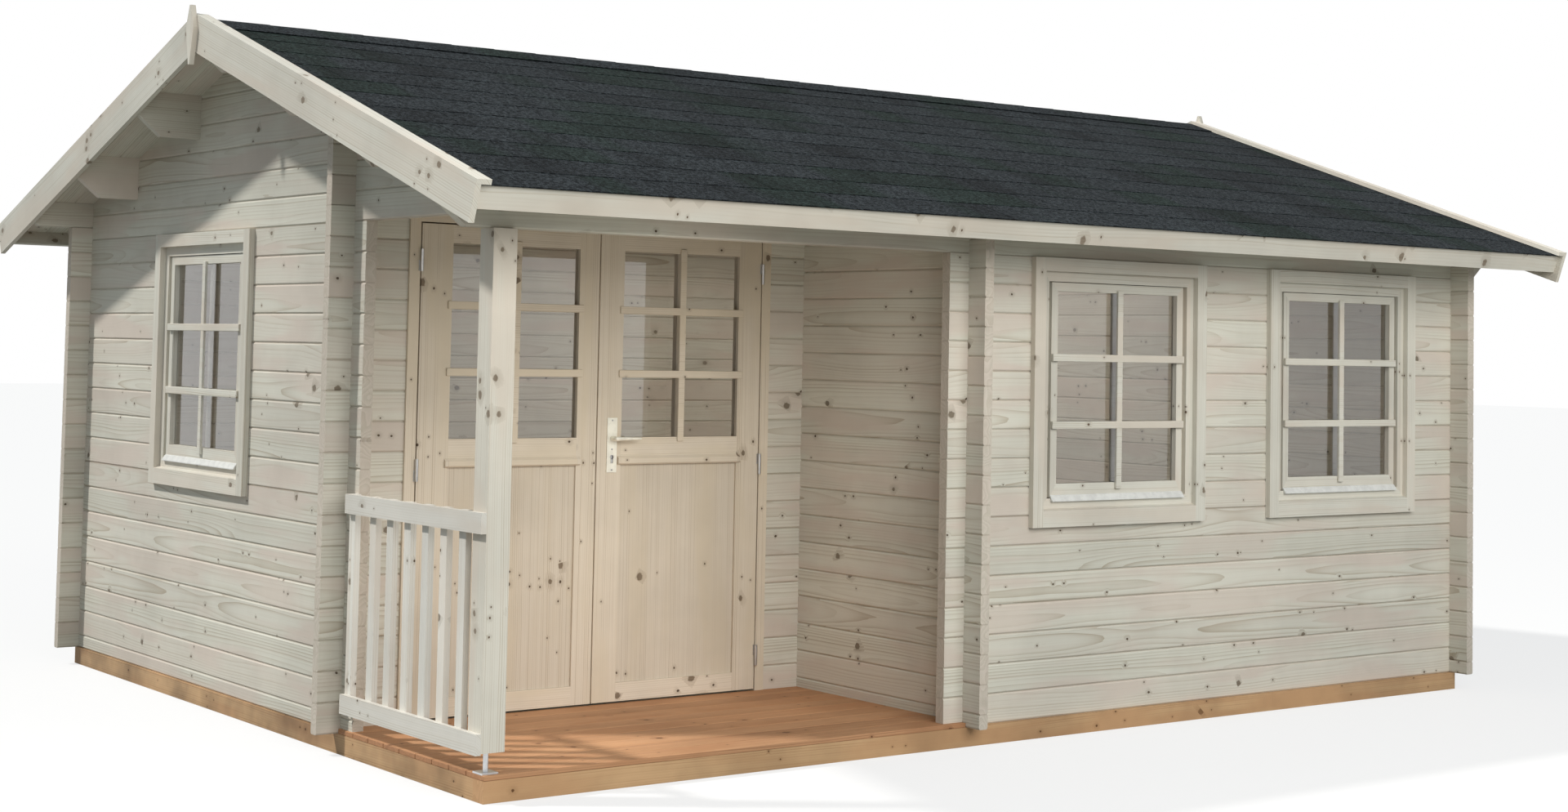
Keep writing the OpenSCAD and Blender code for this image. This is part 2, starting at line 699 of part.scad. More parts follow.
module frame_hinges() color("silver") {
  jamb_half_hinges();
  right_side() jamb_half_hinges();
}

// Stile and rail leaf with a glazed upper half, a panel recessed on both faces and a ledge over it
module door_leaf(inset) {
  in_x = leaf_x0 + stile_w + inset;
  in_w = leaf_w - 2 * stile_w;
  glass_z0 = floor_z + glass_z;
  panel_z0 = leaf_z0 + bottom_rail_w;
  panel_z1 = glass_z0 - lock_rail_w;
  difference() {
    translate([leaf_x0, leaf_y, leaf_z0]) cube([leaf_w, leaf_t, leaf_z1 - leaf_z0]);
    translate([in_x, leaf_y - over_l, glass_z0])
      cube([in_w, leaf_t + 2 * over_l, leaf_z1 - top_rail_w - glass_z0]);
    for (y = [leaf_y + panel_d - over_l, leaf_y + leaf_t - panel_d])
      translate([in_x, y, panel_z0]) cube([in_w, over_l, panel_z1 - panel_z0]);
  }
  along_x(in_x - ledge_past_l, in_w + 2 * ledge_past_l) translate([leaf_y, panel_z1])
    polygon([[0, 0], [-ledge_d / 2, 0], [-ledge_d, ledge_d / 2], [-ledge_d, ledge_h - ledge_d], [0, ledge_h]]);
}

module door_pane(inset) {
  glass_z0 = floor_z + glass_z;
  translate([leaf_x0 + stile_w + inset, leaf_y + (leaf_t - pane_t) / 2, glass_z0])
    cube([leaf_w - 2 * stile_w, pane_t, leaf_z1 - top_rail_w - glass_z0]);
}

module left_door_leaf() color("antiquewhite") door_leaf(left_set_w);

module left_door_pane() color("lightblue") door_pane(left_set_w);

module left_leaf_hinges() color("lightgray") leaf_half_hinges();

// Bore for the lever's spindle through leaf and plates
spindle_share = 0.6;
spindle_d = lever_d * spindle_share;
spindle_gap_w = 0.5;

module spindle_bore() translate([lever_x, leaf_y - over_l, floor_z + lever_z]) rotate([-90, 0, 0])
  cylinder(d = spindle_d + 2 * spindle_gap_w, h = leaf_t + 2 * over_l);

module right_door_leaf() color("antiquewhite") difference() {
  right_side() door_leaf(0);
  spindle_bore();
}

module right_door_pane() color("lightblue") right_side() door_pane(0);

module right_leaf_hinges() color("lightgray") right_side() leaf_half_hinges();

module handle_plates() color("silver") difference() {
  for (y = [leaf_y - plate_t, leaf_y + leaf_t])
    translate([lever_x - plate_w / 2, y, floor_z + plate_z]) cube([plate_w, plate_t, plate_h]);
  spindle_bore();
}

// Tapering levers on both faces of the leaf, on one spindle
module door_lever() color("gray") translate([lever_x, leaf_y + leaf_t / 2, floor_z + lever_z]) {
  tip_share = 0.5;
  tip_d = lever_d * tip_share;
  arm_y = leaf_t / 2 + plate_t + lever_reach_l - lever_d / 2;
  rotate([90, 0, 0]) cylinder(d = spindle_d, h = 2 * arm_y, center = true);
  for (side = [0, 1]) mirror([0, side, 0]) {
    translate([0, arm_y, 0]) rotate([90, 0, 0])
      cylinder(d = lever_d, h = lever_reach_l - lever_d / 2 - spindle_gap_w);
    translate([0, arm_y, 0]) sphere(d = lever_d);
    translate([0, arm_y, 0]) rotate([0, 90, 0]) cylinder(d1 = lever_d, d2 = tip_d, h = lever_l - tip_d / 2);
    translate([lever_l - tip_d / 2, arm_y, 0]) sphere(d = tip_d);
  }
}

long_sills();
floor_bearers();
room_floor();
porch_deck();
front_wall_low();
front_wall_piers();
front_plate();
rear_wall();
rear_plate();
left_gable_low();
left_gable_piers();
left_gable_top();
right_gable_wall();
right_gable_top();
porch_side_wall();
door_wall_piers();
door_wall_top();
purlins();
front_roof_boards();
rear_roof_boards();
front_shingles();
rear_shingles();
ridge_shingles();
eave_fascias();
barge_boards();
cover_battens();
gable_finials();
porch_post();
post_foot();
balustrade();
window_posts();
window_rails();
window_panes();
casing_sides();
casing_rails();
window_drips();
door_jambs();
door_head();
frame_hinges();
left_door_leaf();
left_door_pane();
left_leaf_hinges();
right_door_leaf();
right_door_pane();
right_leaf_hinges();
handle_plates();
door_lever();
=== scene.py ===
import math
import random

import bmesh
import bpy
from mathutils import Matrix, Vector


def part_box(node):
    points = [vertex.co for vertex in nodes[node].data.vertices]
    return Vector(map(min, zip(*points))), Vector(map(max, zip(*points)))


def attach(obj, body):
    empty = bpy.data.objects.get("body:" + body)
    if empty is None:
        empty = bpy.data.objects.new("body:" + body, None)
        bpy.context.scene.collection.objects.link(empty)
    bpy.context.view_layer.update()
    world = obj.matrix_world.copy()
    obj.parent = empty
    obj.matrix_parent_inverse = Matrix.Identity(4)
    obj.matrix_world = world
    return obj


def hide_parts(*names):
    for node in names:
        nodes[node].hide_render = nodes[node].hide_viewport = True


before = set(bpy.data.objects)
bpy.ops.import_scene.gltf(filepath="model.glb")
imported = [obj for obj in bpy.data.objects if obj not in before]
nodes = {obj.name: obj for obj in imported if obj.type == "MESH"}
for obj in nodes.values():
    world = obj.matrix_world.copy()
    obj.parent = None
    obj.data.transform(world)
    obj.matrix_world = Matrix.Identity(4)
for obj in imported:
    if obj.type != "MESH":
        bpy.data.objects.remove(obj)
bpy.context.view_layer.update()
print("frame loaded,", len(nodes), "nodes")

# camera
cameraView = {
    "place": (-6.35682, -8.56067, 1.51867),  # metres, in the part's frame
    "sensor": 36,
    "frame": (1920, 994),  # pixels, as the next two
    "focal": 2785.741,
    "middleRow": 280.787,
    "heading": 0.6431026,  # turn from +Y towards +X
    "tilt": -0.0518270,
    "roll": -0.0192992,
}


def makeCamera():
    heading, tilt, roll = cameraView["heading"], cameraView["tilt"], cameraView["roll"]
    wide, tall = cameraView["frame"]
    flat = math.cos(tilt)
    forward = Vector((math.sin(heading) * flat, math.cos(heading) * flat, -math.sin(tilt)))
    level = Vector((math.cos(heading), -math.sin(heading), 0))
    down = forward.cross(level)
    right = math.cos(roll) * level + math.sin(roll) * down
    down = -math.sin(roll) * level + math.cos(roll) * down
    data = bpy.data.cameras.new("photoView")
    data.sensor_width = cameraView["sensor"]
    data.lens = cameraView["sensor"] * cameraView["focal"] / wide
    data.shift_y = -(tall / 2 - cameraView["middleRow"]) / wide
    cam = bpy.data.objects.new("photoView", data)
    turn = Matrix((right, -down, -forward)).transposed().to_4x4()
    cam.matrix_world = Matrix.Translation(cameraView["place"]) @ turn
    bpy.context.scene.collection.objects.link(cam)
    bpy.context.scene.camera = cam


makeCamera()
print("camera set")


# node helpers
def addNode(tree, kind, settings=None, inputs=None):
    node = tree.nodes.new(kind)
    for key, value in (settings or {}).items():
        setattr(node, key, value)
    for key, value in (inputs or {}).items():
        if isinstance(value, bpy.types.NodeSocket):
            tree.links.new(value, node.inputs[key])
        else:
            node.inputs[key].default_value = value
    return node


def calc(tree, operation, *values, clamp=False):
    settings = {"operation": operation, "use_clamp": clamp}
    return addNode(tree, "ShaderNodeMath", settings, dict(enumerate(values))).outputs[0]


def plus(tree, first, second):
    return calc(tree, "ADD", first, second)


def minus(tree, first, second):
    return calc(tree, "SUBTRACT", first, second)


def times(tree, first, second):
    return calc(tree, "MULTIPLY", first, second)


def ratio(tree, first, second):
    return calc(tree, "DIVIDE", first, second)


def fit(tree, value, factor, base):  # value times factor, plus base
    return calc(tree, "MULTIPLY_ADD", value, factor, base)


def above(tree, value, limit):
    return calc(tree, "GREATER_THAN", value, limit)


def below(tree, value, limit):
    return calc(tree, "LESS_THAN", value, limit)


def largest(tree, values):
    best = values[0]
    for value in values[1:]:
        best = calc(tree, "MAXIMUM", best, value)
    return best


def vectorCalc(tree, operation, *values):
    return addNode(tree, "ShaderNodeVectorMath", {"operation": operation}, dict(enumerate(values))).outputs


def stretch(tree, vector, factors):
    return vectorCalc(tree, "MULTIPLY", vector, factors)[0]


def joinXyz(tree, x, y, z):
    return addNode(tree, "ShaderNodeCombineXYZ", None, {0: x, 1: y, 2: z}).outputs[0]


def splitXyz(tree, vector):
    return addNode(tree, "ShaderNodeSeparateXYZ", None, {0: vector}).outputs


def splitColour(tree, colour):
    return addNode(tree, "ShaderNodeSeparateColor", None, {0: colour}).outputs


def mixColour(tree, factor, first, second, blend="MIX"):
    settings = {"data_type": "RGBA", "blend_type": blend, "clamp_factor": True}
    return addNode(tree, "ShaderNodeMix", settings, {0: factor, 6: first, 7: second}).outputs[2]


def dimmed(tree, colour, level):  # a colour times one value
    return mixColour(tree, 1.0, colour, joinXyz(tree, level, level, level), "MULTIPLY")


def mixValue(tree, factor, first, second):
    return addNode(tree, "ShaderNodeMix", {"data_type": "FLOAT"}, {0: factor, 2: first, 3: second}).outputs[0]


def smoothBand(tree, value, low, high, toLow=0.0, toHigh=1.0):
    settings = {"interpolation_type": "SMOOTHSTEP", "clamp": True}
    inputs = {0: value, 1: low, 2: high, 3: toLow, 4: toHigh}
    return addNode(tree, "ShaderNodeMapRange", settings, inputs).outputs[0]


def noise(tree, vector, scale, detail=2.0, roughness=0.5):
    inputs = {"Vector": vector, "Scale": scale, "Detail": detail, "Roughness": roughness}
    return addNode(tree, "ShaderNodeTexNoise", None, inputs).outputs[0]


def grainNoise(tree, vector, factors, detail=2.0, roughness=0.5):
    return noise(tree, stretch(tree, vector, factors), 1.0, detail, roughness)


def whiteNoise(tree, value):
    return addNode(tree, "ShaderNodeTexWhiteNoise", {"noise_dimensions": "1D"}, {"W": value}).outputs


def attribute(tree, name):
    return addNode(tree, "ShaderNodeAttribute", {"attribute_name": name}).outputs["Fac"]


def objectXyz(tree):
    spot = addNode(tree, "ShaderNodeTexCoord").outputs["Object"]
    return spot, splitXyz(tree, spot)


def addRelief(tree, shader, height, strength, distance):
    inputs = {"Strength": strength, "Distance": distance, "Height": height}
    relief = addNode(tree, "ShaderNodeBump", None, inputs)
    tree.links.new(relief.outputs[0], shader.inputs["Normal"])


def newGroup(name, inputs, outputs):
    tree = bpy.data.node_groups.new(name, "ShaderNodeTree")
    for inOut, labels in (("INPUT", inputs), ("OUTPUT", outputs)):
        for label, kind in labels:
            tree.interface.new_socket(label, in_out=inOut, socket_type="NodeSocket" + kind)
    return tree, tree.nodes.new("NodeGroupInput").outputs, tree.nodes.new("NodeGroupOutput")


finishes = {}


def newMaterial(name):
    material = finishes[name] = bpy.data.materials.new(name)
    material.use_nodes = True
    tree = material.node_tree
    tree.nodes.clear()
    shader = tree.nodes.new("ShaderNodeBsdfPrincipled")
    tree.links.new(shader.outputs[0], tree.nodes.new("ShaderNodeOutputMaterial").inputs[0])
    return tree, shader


# figure of a sawn softwood board, with the grain along the vector's X
figureForm = {
    "seedShift": (41.0, 17.0, 11.0),  # each board comes from its own part of the log
    "knotCell": (0.060, 0.046), "knotShift": 19.0, "knotSpread": 0.95, "knotLong": 0.82,
    "knotGrain": 110.0, "knotRagged": (0.7, 0.65), "knotEdge": 0.65, "halo": (4.0, 0.7),
    "smallKnot": (0.0042, 0.0030), "liveKnot": (0.0075, 0.0020),  # range and least radius, in metres
    "whorlStep": 0.62, "whorlReach": 0.062, "whorlShift": (0.6, 0.2), "loneKnots": 0.018,
    "wander": 0.55, "wanderSeed": 50.0, "wanderRough": 0.45,
    "pithDepth": (0.13, -0.02), "pithSide": (0.13, -0.065), "pithSway": (0.05, -0.025),
    "ringStep": 0.0088, "ringWobble": 0.007, "knotBend": 0.006, "lateSharp": 3.2, "yearRange": (1.5, 0.30),
    "wobble": (1.6, 24.0, 24.0), "fibre": (1.7, 170.0, 170.0), "streak": (0.6, 24.0, 24.0),
    "patch": (0.7, 5.0, 5.0), "rosy": (1.5, 7.0, 7.0),  # how fine each noise is along and across the grain
    "patchRange": (1.3, 0.25), "fibreShare": (0.46, 0.82, 0.0, 0.30), "streakShare": (0.48, 0.76, 0.0, 0.35),
    "rosyShare": (0.46, 0.64, 0.0, 0.75), "warmBoards": 1.8, "warmShare": 0.35, "bright": (0.16, 0.915),
    "ringedKnot": 0.35, "haloShare": 0.34, "liveBrown": (0.8, 0.1), "coreShare": 0.94,
    "rough": (0.22, 0.50), "lineHeight": 0.40, "fibreHeight": 0.6, "knotSink": 0.6,
}


def makeBoardFigure():
    form = figureForm
    tree, given, out = newGroup("boardFigure", [
        ("Vector", "Vector"), ("Seed", "Float"), ("Early", "Color"), ("Late", "Color"), ("Heart", "Color"),
        ("Knot", "Color"), ("Knot share", "Float"), ("Live share", "Float"), ("Line strength", "Float"),
    ], [("Color", "Color"), ("Roughness", "Float"), ("Height", "Float")])
    along, v, w = splitXyz(tree, given["Vector"])[:3]
    first, second, third = splitColour(tree, whiteNoise(tree, given["Seed"])["Color"])[:3]
    shiftU, shiftV, shiftW = form["seedShift"]
    u = fit(tree, first, shiftU, along)
    spot = joinXyz(tree, u, fit(tree, second, shiftV, v), fit(tree, third, shiftW, w))

    # knots stand in whorls along the board, a few small ones each, and seldom alone
    stepU, stepV = form["knotCell"]
    cellV = fit(tree, second, form["knotShift"], ratio(tree, v, stepV))
    cell = joinXyz(tree, ratio(tree, u, stepU), cellV, 0.0)
    cells = addNode(tree, "ShaderNodeTexVoronoi", {"voronoi_dimensions": "2D"},
                    {"Vector": cell, "Scale": 1.0, "Randomness": form["knotSpread"]}).outputs
    away = vectorCalc(tree, "SUBTRACT", cell, cells["Position"])[0]
    reach = stretch(tree, away, (stepU * form["knotLong"], stepV, 0))
    far = vectorCalc(tree, "LENGTH", reach)["Value"]
    far = times(tree, far, fit(tree, noise(tree, spot, form["knotGrain"], 1.0), *form["knotRagged"]))
    chance = splitColour(tree, cells["Color"])
    knotU = times(tree, splitXyz(tree, cells["Position"])[0], stepU)
    whorl = calc(tree, "FLOOR", ratio(tree, knotU, form["whorlStep"]))
    shift = fit(tree, whiteNoise(tree, whorl)["Value"], *form["whorlShift"])
    heart = times(tree, plus(tree, whorl, shift), form["whorlStep"])
    inWhorl = below(tree, calc(tree, "ABSOLUTE", minus(tree, knotU, heart)), form["whorlReach"])
    present = times(tree, inWhorl, below(tree, chance[1], given["Knot share"]))
    present = largest(tree, (present, below(tree, chance[1], form["loneKnots"])))
    live = above(tree, chance[0], minus(tree, 1.0, given["Live share"]))  # live knots are wide and brown
    radius = fit(tree, calc(tree, "POWER", chance[0], 2.0), *form["smallKnot"])
    radius = fit(tree, live, fit(tree, chance[2], *form["liveKnot"]), radius)
    core = times(tree, smoothBand(tree, far, radius, times(tree, radius, form["knotEdge"])), present)
    haloFar, haloNear = form["halo"]
    halo = smoothBand(tree, far, times(tree, radius, haloFar), times(tree, radius, haloNear))
    halo = times(tree, halo, present)

    # year rings round a pith that wanders below the face, which gives flames and fine side lines
    drift = joinXyz(tree, times(tree, u, form["wander"]), times(tree, second, form["wanderSeed"]), 0.0)
    wander = noise(tree, drift, 1.0, 2.0, form["wanderRough"])
    pithDepth = plus(tree, fit(tree, wander, *form["pithDepth"]), w)
    pithSide = plus(tree, fit(tree, third, *form["pithSide"]), fit(tree, wander, *form["pithSway"]))
    side = minus(tree, v, pithSide)
    ring = calc(tree, "SQRT", plus(tree, times(tree, side, side), times(tree, pithDepth, pithDepth)))
    wobble = grainNoise(tree, spot, form["wobble"])
    ring = plus(tree, ring, fit(tree, wobble, form["ringWobble"], times(tree, halo, form["knotBend"])))
    turns = ratio(tree, ring, form["ringStep"])
    year = whiteNoise(tree, plus(tree, calc(tree, "FLOOR", turns), given["Seed"]))["Value"]
    line = calc(tree, "POWER", calc(tree, "FRACT", turns), form["lateSharp"])
    line = times(tree, line, fit(tree, calc(tree, "POWER", year, 2.0), *form["yearRange"]))
    fibre = grainNoise(tree, spot, form["fibre"], 3.0, 0.6)
    streak = grainNoise(tree, spot, form["streak"])
    patch = grainNoise(tree, spot, form["patch"], 1.0)
    rosy = grainNoise(tree, spot, form["rosy"])

    depth = times(tree, given["Line strength"], fit(tree, patch, *form["patchRange"]))
    lateShare = plus(tree, times(tree, line, depth), smoothBand(tree, fibre, *form["fibreShare"]))
    colour = mixColour(tree, lateShare, given["Early"], given["Late"])
    streaky = smoothBand(tree, streak, *form["streakShare"])
    warm = fit(tree, calc(tree, "POWER", third, form["warmBoards"]), form["warmShare"], streaky)
    warm = calc(tree, "ADD", warm, smoothBand(tree, rosy, *form["rosyShare"]), clamp=True)
    colour = mixColour(tree, warm, colour, given["Heart"])
    colour = dimmed(tree, colour, fit(tree, first, *form["bright"]))
    ringed = mixColour(tree, form["ringedKnot"], given["Late"], given["Knot"])
    colour = mixColour(tree, times(tree, halo, form["haloShare"]), colour, ringed)
    brown = times(tree, live, fit(tree, fibre, *form["liveBrown"]))
    knotColour = mixColour(tree, brown, given["Knot"], ringed)
    colour = mixColour(tree, times(tree, core, form["coreShare"]), colour, knotColour)
    rough = fit(tree, fibre, *form["rough"])
    height = fit(tree, line, form["lineHeight"], times(tree, fibre, form["fibreHeight"]))
    height = minus(tree, height, times(tree, core, form["knotSink"]))
    for label, socket in (("Color", colour), ("Roughness", rough), ("Height", height)):
        tree.links.new(socket, out.inputs[label])
    return tree


# fine uneven soiling, darker by a few shares
soilForm = {"detail": 4.0, "rough": 0.6, "band": (0.35, 0.7)}


def makeSoftSoil():
    tree, given, out = newGroup("softSoil", [("Color", "Color"), ("Scale", "Float"), ("Amount", "Float")],
                                [("Color", "Color"), ("Mask", "Float")])
    spot = addNode(tree, "ShaderNodeTexCoord").outputs["Object"]
    cloud = noise(tree, spot, given["Scale"], soilForm["detail"], soilForm["rough"])
    mask = smoothBand(tree, cloud, *soilForm["band"])
    shade = minus(tree, 1.0, times(tree, mask, given["Amount"]))
    tree.links.new(dimmed(tree, given["Color"], shade), out.inputs["Color"])
    tree.links.new(mask, out.inputs["Mask"])
    return tree


boardFigure = makeBoardFigure()
softSoil = makeSoftSoil()


def soiled(tree, colour, scale, amount):
    inputs = {"Color": colour, "Scale": scale, "Amount": amount}
    return addNode(tree, "ShaderNodeGroup", {"node_tree": softSoil}, inputs).outputs


# places in the part's frame that woods and pieces follow
logForm = {
    "course": 0.114, "bottom": 0.074, "half": 0.057,  # walls along Y lie half a course higher
    "wallYs": (-1.892, -0.835, 1.892), "wallXs": (-2.552, -0.451, 2.552),
    "wallFind": (0.45, 3.2), "wallSeed": 37.0,
    # painted shade: near each log edge the colour is mixed towards a dark brown, for the shade in the V
    # joints
    "groove": (0.0525, 0.0566, 0.0, 0.35), "grooveShadeColour": (0.26, 0.20, 0.14, 1),
}
roofForm = {"pitch": math.radians(18.4), "boardT": 0.019, "topT": 0.025, "eaveRun": 2.3891, "drip": 0.012,
            "fasciaT": 0.020, "ridgeGap": 0.0006}
roofForm["ridge"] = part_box("front_roof_boards")[1].z - roofForm["boardT"] / math.cos(roofForm["pitch"])
windowForm = {
    "places": ((0.3545, -1.914, 0.872, 0.0), (1.7465, -1.914, 0.872, 0.0), (-2.574, 0.5285, 0.929, -90.0)),
    "half": 0.343, "glass": (0.123, 0.894), "sashFace": 0.005, "paneBack": 0.032, "sashBack": 0.039,
    "gableEnd": -2.4, "between": 1.05, "casing": 0.42,  # where gable, right window and casing begin
    "seeds": {"side": 3.0, "casing": 11.0, "right": 23.0, "gable": 51.0, "rails": 5.0},
}
leafForm = {
    "faceY": -0.867, "paneY": (-0.849, -0.845), "backY": -0.827,
    "left": (-2.1645, -1.5955), "right": (-1.3865, -0.8175), "glass": (1.147, 1.892),
    "rails": ((0.0, 0.174), (1.039, 1.147), (1.892, 2.0)), "railSeed": 9.0, "insideSeed": 4.0,
}
railingForm = {"railFace": -2.5971, "slatSeed": (7.6, 0.25), "railSeed": 60.0}


# each wood's axes: along the grain, across it, depth and a seed for each board
def logAxes(alongIndex):
    bottom = logForm["bottom"] + (logForm["half"] if alongIndex else 0.0)
    middles = logForm["wallXs" if alongIndex else "wallYs"]

    def axes(tree, xyz):
        rise = ratio(tree, minus(tree, xyz[2], bottom), logForm["course"])
        course = calc(tree, "FLOOR", rise)
        across = times(tree, minus(tree, calc(tree, "FRACT", rise), 0.5), logForm["course"])
        side = xyz[1 - alongIndex]
        wall = calc(tree, "FLOOR", fit(tree, side, *logForm["wallFind"]))
        depth = None
        for middle in middles:
            gap = calc(tree, "ABSOLUTE", minus(tree, side, middle))
            depth = gap if depth is None else calc(tree, "MINIMUM", depth, gap)
        return xyz[alongIndex], across, depth, fit(tree, wall, logForm["wallSeed"], course)
    return axes


def boardAxes(alongIndex, step=0.0, stepIndex=0):
    def axes(tree, xyz):
        turn = -1.0 if alongIndex == 2 else 1.0  # the figure runs round the corner, not mirrored at it
        flat = fit(tree, xyz[(alongIndex + 2) % 3], turn, xyz[(alongIndex + 1) % 3])
        seed = calc(tree, "ROUND", ratio(tree, xyz[stepIndex], step)) if step else 3.0
        return xyz[alongIndex], flat, 0.0, seed
    return axes


def windowRailAxes(tree, xyz):
    onGable = below(tree, xyz[0], windowForm["gableEnd"])
    along = mixValue(tree, onGable, xyz[0], xyz[1])
    across = plus(tree, xyz[2], mixValue(tree, onGable, xyz[1], xyz[0]))
    return along, across, 0.0, plus(tree, onGable, windowForm["seeds"]["rails"])


def windowPostAxes(tree, xyz):
    leftWindow, rightWindow, gableWindow = windowForm["places"]
    seeds = windowForm["seeds"]
    onGable = below(tree, xyz[0], windowForm["gableEnd"])
    onRight = above(tree, xyz[0], windowForm["between"])
    local = mixValue(tree, onRight, minus(tree, xyz[0], leftWindow[0]), minus(tree, xyz[0], rightWindow[0]))
    local = mixValue(tree, onGable, local, minus(tree, xyz[1], gableWindow[1]))
    casing = above(tree, calc(tree, "ABSOLUTE", local), windowForm["casing"])
    seed = fit(tree, calc(tree, "SIGN", local), seeds["side"], times(tree, casing, seeds["casing"]))
    seed = plus(tree, seed, fit(tree, onRight, seeds["right"], times(tree, onGable, seeds["gable"])))
    return xyz[2], plus(tree, local, mixValue(tree, onGable, xyz[1], xyz[0])), 0.0, seed


def slopeAxes(tree, xyz):
    run = calc(tree, "ABSOLUTE", xyz[1])
    cosine, sine = math.cos(roofForm["pitch"]), math.sin(roofForm["pitch"])
    along = minus(tree, times(tree, run, cosine), times(tree, xyz[2], sine))
    across = plus(tree, times(tree, run, sine), times(tree, xyz[2], cosine))
    seed = plus(tree, calc(tree, "SIGN", xyz[1]), times(tree, calc(tree, "SIGN", xyz[0]), 3.0))
    return along, plus(tree, across, xyz[0]), 0.0, seed


def railingAxes(tree, xyz):
    outside = below(tree, xyz[0], railingForm["railFace"])
    along = mixValue(tree, outside, xyz[2], xyz[1])
    across = mixValue(tree, outside, plus(tree, xyz[0], xyz[1]), plus(tree, xyz[0], xyz[2]))
    slat = calc(tree, "FLOOR", fit(tree, xyz[1], *railingForm["slatSeed"]))
    return along, across, 0.0, mixValue(tree, outside, slat, railingForm["railSeed"])


def leafAxes(tree, xyz):
    def within(value, zones):
        sides = [(above(tree, value, low), below(tree, value, high)) for low, high in zones]
        return largest(tree, [times(tree, *pair) for pair in sides])

    inside = within(xyz[0], (leafForm["left"], leafForm["right"]))
    rail = times(tree, inside, within(xyz[2], leafForm["rails"]))
    along = mixValue(tree, rail, xyz[2], xyz[0])
    across = mixValue(tree, rail, plus(tree, xyz[0], xyz[1]), plus(tree, xyz[2], xyz[1]))
    seed = fit(tree, rail, leafForm["railSeed"], times(tree, inside, leafForm["insideSeed"]))
    return along, across, 0.0, seed


def laidBoardAxes(tree, xyz):
    return xyz[0], plus(tree, xyz[1], xyz[2]), 0.0, attribute(tree, "boardSeed")


def roofBoardAxes(tree, xyz):
    return *slopeAxes(tree, xyz)[:3], attribute(tree, "boardSeed")


# woods
paleSpruce = {"Early": (0.675, 0.66, 0.575, 1), "Late": (0.44, 0.385, 0.295, 1),
              "Heart": (0.635, 0.56, 0.485, 1), "Knot": (0.075, 0.048, 0.028, 1)}
planedSpruce = {"Early": (0.69, 0.675, 0.60, 1), "Late": (0.46, 0.405, 0.315, 1),
                "Heart": (0.65, 0.59, 0.505, 1), "Knot": (0.10, 0.060, 0.034, 1)}
whiteSpruce = {"Early": (0.78, 0.765, 0.71, 1), "Late": (0.55, 0.50, 0.41, 1),
               "Heart": (0.73, 0.68, 0.605, 1), "Knot": (0.10, 0.065, 0.038, 1)}
doorSpruce = {"Early": (0.715, 0.635, 0.525, 1), "Late": (0.47, 0.375, 0.265, 1),
              "Heart": (0.675, 0.585, 0.455, 1), "Knot": (0.07, 0.042, 0.025, 1)}
brownDeck = {"Early": (0.57, 0.315, 0.168, 1), "Late": (0.31, 0.145, 0.068, 1),
             "Heart": (0.465, 0.235, 0.118, 1), "Knot": (0.09, 0.035, 0.015, 1)}
brownSill = {"Early": (0.72, 0.480, 0.265, 1), "Late": (0.44, 0.25, 0.12, 1),
             "Heart": (0.60, 0.36, 0.19, 1), "Knot": (0.13, 0.06, 0.025, 1)}
woodForm = {"specular": 0.22, "relief": (0.5, 0.0007), "soilScale": 1.7, "endBand": (0.6, 0.9),
            "endNoise": 9.0, "endRings": 14.0, "endLate": 0.6, "endShare": 0.75}
woodLook = {  # knots and live knots as shares, lines as strength, end as the axis of the cut ends
    "logsAlongX": dict(palette=paleSpruce, axes=logAxes(0), knots=0.20, lines=0.85, end=0, paintGrooveShade=True),
    "logsAlongY": dict(palette=paleSpruce, axes=logAxes(1), knots=0.20, lines=0.85, end=1, paintGrooveShade=True),
    "purlinWood": dict(palette=paleSpruce, axes=boardAxes(0, 0.65, 1), knots=0.22, lines=0.8, end=0),
    "uprightWood": dict(palette=planedSpruce, axes=boardAxes(2), knots=0.42, lines=0.9, end=2, live=0.45),
    "fasciaWood": dict(palette=planedSpruce, axes=boardAxes(0, 2.2, 1), knots=0.34, lines=0.9, end=0,
                       live=0.35),
    "bargeWood": dict(palette=planedSpruce, axes=slopeAxes, knots=0.34, lines=0.85, live=0.35),
    "windowPostWood": dict(palette=planedSpruce, axes=windowPostAxes, knots=0.26, lines=0.85, live=0.25),
    "railWood": dict(palette=planedSpruce, axes=windowRailAxes, knots=0.20, lines=0.75),
    "railingWood": dict(palette=whiteSpruce, axes=railingAxes, knots=0.24, lines=0.9, live=0.3),
    "leafWood": dict(palette=doorSpruce, axes=leafAxes, knots=0.26, lines=0.62),
    "jambWood": dict(palette=doorSpruce, axes=boardAxes(2), knots=0.2, lines=0.8),
    "doorHeadWood": dict(palette=doorSpruce, axes=boardAxes(0), knots=0.2, lines=0.8),
    "sillWoodX": dict(palette=brownSill, axes=boardAxes(0, 3.0, 1), knots=0.3, lines=0.8, end=0, soil=0.3),
    "sillWoodY": dict(palette=brownSill, axes=boardAxes(1, 0.8, 0), knots=0.3, lines=0.8, end=1, soil=0.60),
    "deckWood": dict(palette=brownDeck, axes=laidBoardAxes, knots=0.2, lines=0.9, end=0, soil=0.2),
    "floorWood": dict(palette=paleSpruce, axes=laidBoardAxes, knots=0.25, lines=0.8, end=0),
    "roofWood": dict(palette=paleSpruce, axes=roofBoardAxes, knots=0.25, lines=0.8),
}


